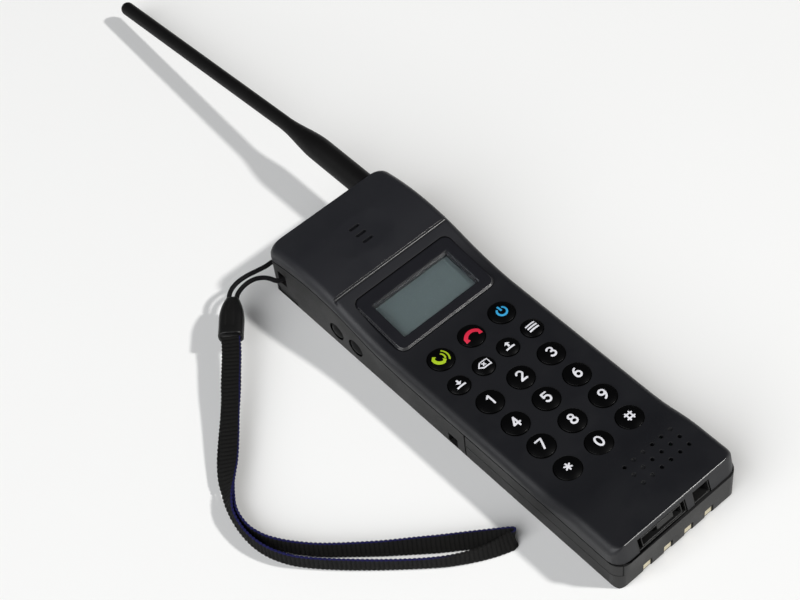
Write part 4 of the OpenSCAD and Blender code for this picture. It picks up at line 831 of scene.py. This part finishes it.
def roundCorners(form, plan):
    # the shoulder keeps its radius further round each corner, so that the corner is as round as the sides
    span = plan["shoulder"] - plan["edge"]

    def slantAt(z):
        return plan["lean"] * (z - plan["low"]) / (plan["high"] - plan["low"])

    for v in form.verts:
        x, y, z = (abs(v.co.x) / mm, v.co.y / mm, v.co.z / mm)
        deep = (y - plan["end"] - slantAt(z)) / (1 - slantAt(z) / plan["radius"])
        if not 0 < deep < plan["radius"]:
            continue
        share = 1 - deep / plan["radius"]
        wide = plan["half"] - plan["radius"] + plan["radius"] * math.sqrt(1 - share**2)
        old, new = plan["shoulder"] - span * share, plan["shoulder"] - span * share**plan["hold"]
        u, w = (x - wide + old) / old, (z - plan["high"] + old) / old
        if min(u, w) < plan["below"] or abs(u * u + w * w - 1) > plan["off"]:
            continue
        x, z = wide + (u - 1) * new, plan["high"] + (w - 1) * new
        v.co = Vector((math.copysign(x, v.co.x), plan["end"] + deep + slantAt(z) * share, z)) * mm


def gapTree(node):
    # the solids round a piece, for finding the narrow gaps between them
    points, faces = [], []
    for other, obj in cadNodes.items():
        if other != node:
            faces += [[len(points) + v for v in p.vertices] for p in obj.data.polygons]
            points += [v.co for v in obj.data.vertices]
    return BVHTree.FromPolygons(points, faces)


def paintGapShade(form, node, plan):
    # faces inside a seam or a key hole are painted black as painted shade, on a piece that comes off only
    # those at its rim
    near = gapTree(node)
    low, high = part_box(node)
    for face in form.faces:
        start = face.calc_center_median() + face.normal * plan["lift"] * mm
        reach = min(min(start[i] - low[i], high[i] - start[i]) for i in range(2))
        if reach < plan["rim"] * mm and near.ray_cast(start, face.normal, plan["gaps"] * mm)[0]:
            face.material_index = paintedShadeSlot


def easeEdges(node, plan):
    mesh = cadNodes[node].data.copy()
    form = bmesh.new()
    form.from_mesh(mesh)
    bmesh.ops.remove_doubles(form, verts=form.verts, dist=plan["merge"] * mm)
    for face in form.faces:
        face.material_index = 0
    if "gaps" in plan:
        paintGapShade(form, node, plan)
    bmesh.ops.dissolve_limit(form, angle_limit=math.radians(plan["flat"]), verts=form.verts,
                             edges=form.edges, delimit={"NORMAL", "MATERIAL"})
    if "drop" in plan:
        # the plates reach further down their notches
        middle = sum(v.co.z for v in form.verts) / len(form.verts)
        for v in form.verts:
            v.co.z -= plan["drop"] * mm if v.co.z < middle else 0
    mesh.materials.clear()
    for skin in (plan["skin"], plan.get("lipSkin", plan["skin"]), "seamPaintedShade"):
        mesh.materials.append(materials[skin])
    if node == cornerPlan["node"]:
        roundCorners(form, cornerPlan)
    if "lips" in plan:
        roundLips(form, plan)
    form.to_mesh(mesh)
    form.free()
    mesh.attributes.remove(mesh.attributes["custom_normal"])
    piece = addObject(node + "_finished", mesh)
    mesh.shade_smooth()
    mesh.set_sharp_from_angle(angle=math.radians(plan["limit"]))
    if plan["edge"]:
        bevel = piece.modifiers.new("edge", "BEVEL")
        bevel.width = plan["edge"] * mm
        bevel.segments = 3
        bevel.limit_method = "ANGLE"
        bevel.angle_limit = math.radians(plan["limit"])
        bevel.harden_normals = True
    piece.modifiers.new("flatten", "WEIGHTED_NORMAL").keep_sharp = True
    bakeModifiers(piece)
    return placePiece(piece, bodyOf[node], [node])


finished = {node: easeEdges(node, edgeBase | plan) for node, plan in edgePlan.items()}
print("stage: rigid pieces finished,", len(finished))

# inner pieces keep their solids and get their finish
innerFinish = {
    "display_lens": "lensClear", "lcd_glass": "displayGrey", "lcd_holder": "palePlastic",
    "earpiece_speaker": "speakerMetal", "earpiece_gasket": "softRubber", "microphone": "tinPlate",
    "microphone_boot": "softRubber", "keypad_membrane": "keyMembrane", "keypad_board": "circuitBoard",
    "side_key_board": "circuitBoard", "main_board": "circuitBoard", "shield_can": "tinPlate",
    "board_connector": "palePlastic", "ringer": "speakerMetal", "antenna_bush": "bushBrass",
    "battery_cells": "cellWrap", "battery_pads": "contactGold", "battery_terminals": "contactGold",
    "case_screws": "screwSteel",
}
for node, finish in innerFinish.items():
    for slot in cadNodes[node].material_slots:
        slot.material = materials[finish]
print("stage: inner pieces painted,", len(innerFinish))

# key marks: plain figures and plain signs, printed on the key tops, in mm
markPlan = {"stroke": 0.7, "grid": 0.07, "ink": 0.03, "root": 0.06, "cuts": 3, "merge": 0.0001,
            "outline": 0.01, "castFrom": 5}


def arcLine(x, y, wide, high, start=0, stop=360, steps=28):
    angles = [math.radians(start + (stop - start) * k / steps) for k in range(steps + 1)]
    return [(x + wide * math.cos(a), y + high * math.sin(a)) for a in angles]


# centre lines of the figures' strokes, in mm
six = [arcLine(0, -0.75, 1.05, 1.02), arcLine(0.8, -0.7, 1.85, 2.5, 180, 100)]
hashBars = [[(side * 0.78, end) for end in (-1.4, 1.4)] for side in (-1, 1)]
figures = {
    "key_0": [arcLine(0, 0, 1.12, 1.8)],
    "key_1": [[(-0.75, 1.0), (0.2, 1.8), (0.2, -1.8)]],
    "key_2": [arcLine(0, 0.8, 1.05, 1.0, 165, -38) + [(-1.08, -1.8), (1.12, -1.8)]],
    "key_3": [arcLine(-0.05, 0.93, 0.98, 0.87, 150, -90), arcLine(-0.05, -0.87, 1.1, 0.93, 90, -150)],
    "key_4": [[(0.5, -1.8), (0.5, 1.8), (-1.2, -0.8), (1.25, -0.8)]],
    "key_5": [[(0.98, 1.8), (-0.78, 1.8), (-0.92, 0.2)] + arcLine(-0.02, -0.65, 1.12, 1.15, 130, -150)],
    "key_6": six,
    "key_7": [[(-1.12, 1.8), (1.12, 1.8), (-0.35, -1.8)]],
    "key_8": [arcLine(0, 0.95, 0.9, 0.85), arcLine(0, -0.85, 1.12, 0.95)],
    "key_9": [[(-x, -y) for x, y in line] for line in six],
    "key_star": [[(side * math.cos(a), side * math.sin(a)) for side in (-1.25, 1.25)]
                 for a in (math.pi / 2, math.pi / 6, -math.pi / 6)],
    "key_hash": hashBars + [[(y, x) for x, y in line] for line in hashBars],
}
thinFigures = {"key_star": 0.6, "key_hash": 0.6}


def strokeField(strokes, thick, step):
    # distance from a grid of points to the nearest stroke, less half the stroke's width
    corners = numpy.array([p for line in strokes for p in line])
    low, high = corners.min(0) - thick, corners.max(0) + thick
    xs, ys = (numpy.arange(low[i], high[i] + step, step) for i in range(2))
    grid = numpy.stack(numpy.meshgrid(xs, ys, indexing="ij"), -1)
    field = numpy.full(grid.shape[:2], 1e9)
    for line in strokes:
        for a, b in zip(numpy.array(line), numpy.array(line[1:])):
            reach = (b - a) / max((b - a) @ (b - a), 1e-12)
            t = numpy.clip((grid - a) @ reach, 0, 1)
            field = numpy.minimum(field, numpy.linalg.norm(grid - a - t[..., None] * (b - a), axis=-1))
    return xs, ys, field - thick / 2


def strokeLoops(strokes, thick, step):
    # the zero line of that field, cell by cell, joined into closed outlines
    xs, ys, field = strokeField(strokes, thick, step)

    def crossing(a, b):
        t = field[a] / (field[a] - field[b])
        return (xs[a[0]] + (xs[b[0]] - xs[a[0]]) * t, ys[a[1]] + (ys[b[1]] - ys[a[1]]) * t)

    follow = {}
    for i in range(len(xs) - 1):
        for j in range(len(ys) - 1):
            ring = [(i, j), (i + 1, j), (i + 1, j + 1), (i, j + 1)]
            sides = [(a, b) for a, b in zip(ring, ring[1:] + ring[:1]) if (field[a] < 0) != (field[b] < 0)]
            leave = [side for side in sides if field[side[0]] < 0]
            enter = [side for side in sides if field[side[0]] >= 0]
            for out, back in zip(leave, enter):
                follow[frozenset(out)] = frozenset(back)
    loops = []
    while follow:
        key = next(iter(follow))
        loop = []
        while key in follow:
            a, b = sorted(key)
            loop.append(crossing(a, b))
            key = follow.pop(key)
        loops.append(loop)
    return loops


def layMark(source, node, ink, plan):
    # a flat outline is laid on the key's dome and sunk a little into it
    bpy.context.view_layer.update()
    seen = source.evaluated_get(bpy.context.evaluated_depsgraph_get())
    mesh = bpy.data.meshes.new_from_object(seen)
    bpy.data.objects.remove(source)
    form = bmesh.new()
    form.from_mesh(mesh)
    bmesh.ops.remove_doubles(form, verts=form.verts, dist=plan["merge"] * mm)
    bmesh.ops.triangulate(form, faces=form.faces)
    bmesh.ops.subdivide_edges(form, edges=form.edges, cuts=plan["cuts"], use_grid_fill=True)
    low = Vector([min(v.co[i] for v in form.verts) for i in range(2)])
    high = Vector([max(v.co[i] for v in form.verts) for i in range(2)])
    keyLow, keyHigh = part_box(node)
    centre = (keyLow + keyHigh) / 2
    top = finished[node].data
    dome = BVHTree.FromPolygons([v.co for v in top.vertices], [p.vertices for p in top.polygons])
    for v in form.verts:
        x, y = (v.co[i] - (low[i] + high[i]) / 2 + centre[i] for i in range(2))
        hit = dome.ray_cast(Vector((x, y, keyHigh.z + plan["castFrom"] * mm)), Vector((0, 0, -1)))[0]
        v.co = (x, y, hit.z + (plan["ink"] if v.co.z > 0 else -plan["root"]) * mm)
    form.to_mesh(mesh)
    form.free()
    mesh.materials.clear()
    mesh.materials.append(materials[ink])
    placePiece(addObject("mark_" + node[4:], mesh), bodyOf[node])


def signOutline(shapes):
    # closed outlines in mm; one inside another is a hole
    curve = bpy.data.curves.new("sign", "CURVE")
    curve.dimensions = "2D"
    curve.fill_mode = "BOTH"
    curve.extrude = markPlan["outline"] * mm
    for shape in shapes:
        spline = curve.splines.new("POLY")
        spline.points.add(len(shape) - 1)
        for point, (x, y) in zip(spline.points, shape):
            point.co = (x * mm, y * mm, 0, 1)
        spline.use_cyclic_u = True
    return addObject("sign", curve)


def bar(x, y, wide, high):
    return [(x + wide / 2 * u, y + high / 2 * v) for u, v in ((-1, -1), (1, -1), (1, 1), (-1, 1))]


def arcBand(x, y, radius, thick, start, stop, steps=24):
    rims = (radius + thick / 2, radius - thick / 2)
    outer, inner = (arcLine(x, y, rim, rim, start, stop, steps) for rim in rims)
    return outer + inner[::-1]


def turned(shape, angle, shift=(0, 0)):
    c, s = math.cos(math.radians(angle)), math.sin(math.radians(angle))
    return [(x * c - y * s + shift[0], x * s + y * c + shift[1]) for x, y in shape]


def handset(wide, thick, ear):
    # a receiver seen from the side, lying flat with its ends down
    arch = arcBand(0, -wide * 0.32, wide * 0.5, thick, 38, 142)
    half = len(arch) // 2
    right = [(wide / 2, -ear * 0.75), (wide / 2 - ear * 0.9, -ear * 0.75)]
    left = [(-wide / 2 + ear * 0.9, -ear * 0.75), (-wide / 2, -ear * 0.75)]
    return right[:1] + arch[:half] + left[::-1] + arch[half:] + right[1:]


def arrow(wide, high, stem):
    tip, neck = high / 2, high * 0.02
    left = [(-wide / 2, neck), (-stem / 2, neck), (-stem / 2, -tip)]
    return [(0, tip)] + left + [(-x, y) for x, y in reversed(left)]


def cross(size, thick):
    half = thick / 2
    arm = [(half, half), (half, size), (-half, size)]
    return [point for turn in range(4) for point in turned(arm, 45 + 90 * turn)]


def tag(wide, high):
    shoulder = -wide * 0.2
    x, y = wide / 2, high / 2
    return [(-x, 0), (shoulder, y), (x, y), (x, -y), (shoulder, -y)]


storeLine = bar(0, -1.65, 3.6, 0.6)
eraseTag = tag(5.0, 2.9)
eraseHole = [(x * 0.8 + 0.05, y * 0.68) for x, y in eraseTag]
signs = {
    "key_send": ("inkGreen", [turned(handset(5.0, 1.15, 1.5), 125, (-1.2, 0.1))]
                 + [arcBand(-0.6, 0.5, radius, 0.62, -42, 42) for radius in (2.1, 3.5)]),
    "key_end": ("inkRed", [handset(7.2, 1.45, 1.9)]),
    "key_power": ("inkBlue", [arcBand(0, -0.2, 1.75, 0.72, 125, 415, 40), bar(0, 1.1, 0.72, 2.3)]),
    "key_store": ("inkWhite", [arrow(2.4, -2.2, 0.75), storeLine]),
    "key_clear": ("inkWhite", [eraseTag, eraseHole, cross(0.85, 0.42)]),
    "key_recall": ("inkWhite", [arrow(2.4, 2.2, 0.75), storeLine]),
    "key_function": ("inkWhite", [bar(0, y, 4.0, 0.6) for y in (1.15, 0, -1.15)]),
}

for node, strokes in figures.items():
    loops = strokeLoops(strokes, thinFigures.get(node, markPlan["stroke"]), markPlan["grid"])
    layMark(signOutline(loops), node, "inkWhite", markPlan)
for node, (ink, shapes) in signs.items():
    layMark(signOutline(shapes), node, ink, markPlan)
print("stage: key marks laid,", len(figures) + len(signs))

# floor, lamps and surrounding light
floorLook = {"size": 6.0, "colour": (0.88, 0.88, 0.875), "cloudScale": 9.0, "cloudTone": 0.985,
             "rough": 0.7, "gloss": 0.1}
surroundLook = {"strength": 0.055, "colour": (0.97, 0.985, 1.0)}
lamps = {
    "keyLamp": {"shape": "DISK", "size": 0.35, "power": 138.0, "toward": (0.66, -0.75, 1.0),
                "distance": 4.5, "colour": (1.0, 0.99, 0.97)},
    "fillLamp": {"shape": "SQUARE", "size": 4.0, "power": 181.0, "toward": (-0.75, -0.1, 0.62),
                 "distance": 4.0, "colour": (0.98, 0.99, 1.0)},
}


def makeFloor(look):
    mesh = bpy.data.meshes.new("floor")
    corners = [(x, y, 0) for x, y in bar(0, 0, look["size"], look["size"])]
    mesh.from_pydata(corners, [], [(0, 1, 2, 3)])
    tree, shader = newMaterial("floorPale")
    slow = noiseNode(tree, objectPlace(tree), look["cloudScale"])
    darker = tuple(c * look["cloudTone"] for c in look["colour"])
    dress(tree, shader, mixColour(tree, slow, look["colour"], darker), look)
    mesh.materials.append(materials["floorPale"])
    addObject("floor", mesh)


def makeLamp(name, look):
    lamp = bpy.data.lights.new(name, "AREA")
    lamp.shape = look["shape"]
    lamp.size = look["size"]
    lamp.energy = look["power"]
    lamp.color = look["colour"]
    holder = addObject(name, lamp)
    toward = Vector(look["toward"]).normalized()
    holder.location = toward * look["distance"]
    holder.rotation_euler = toward.to_track_quat("Z", "Y").to_euler()


def makeSurround(look):
    world = bpy.data.worlds.new("surround")
    world.use_nodes = True
    tree = world.node_tree
    feedAll(tree, tree.nodes["Background"], {"Color": look["colour"], "Strength": look["strength"]})
    scene.world = world


makeFloor(floorLook)
for name, look in lamps.items():
    makeLamp(name, look)
makeSurround(surroundLook)
print("stage: floor and lights set")
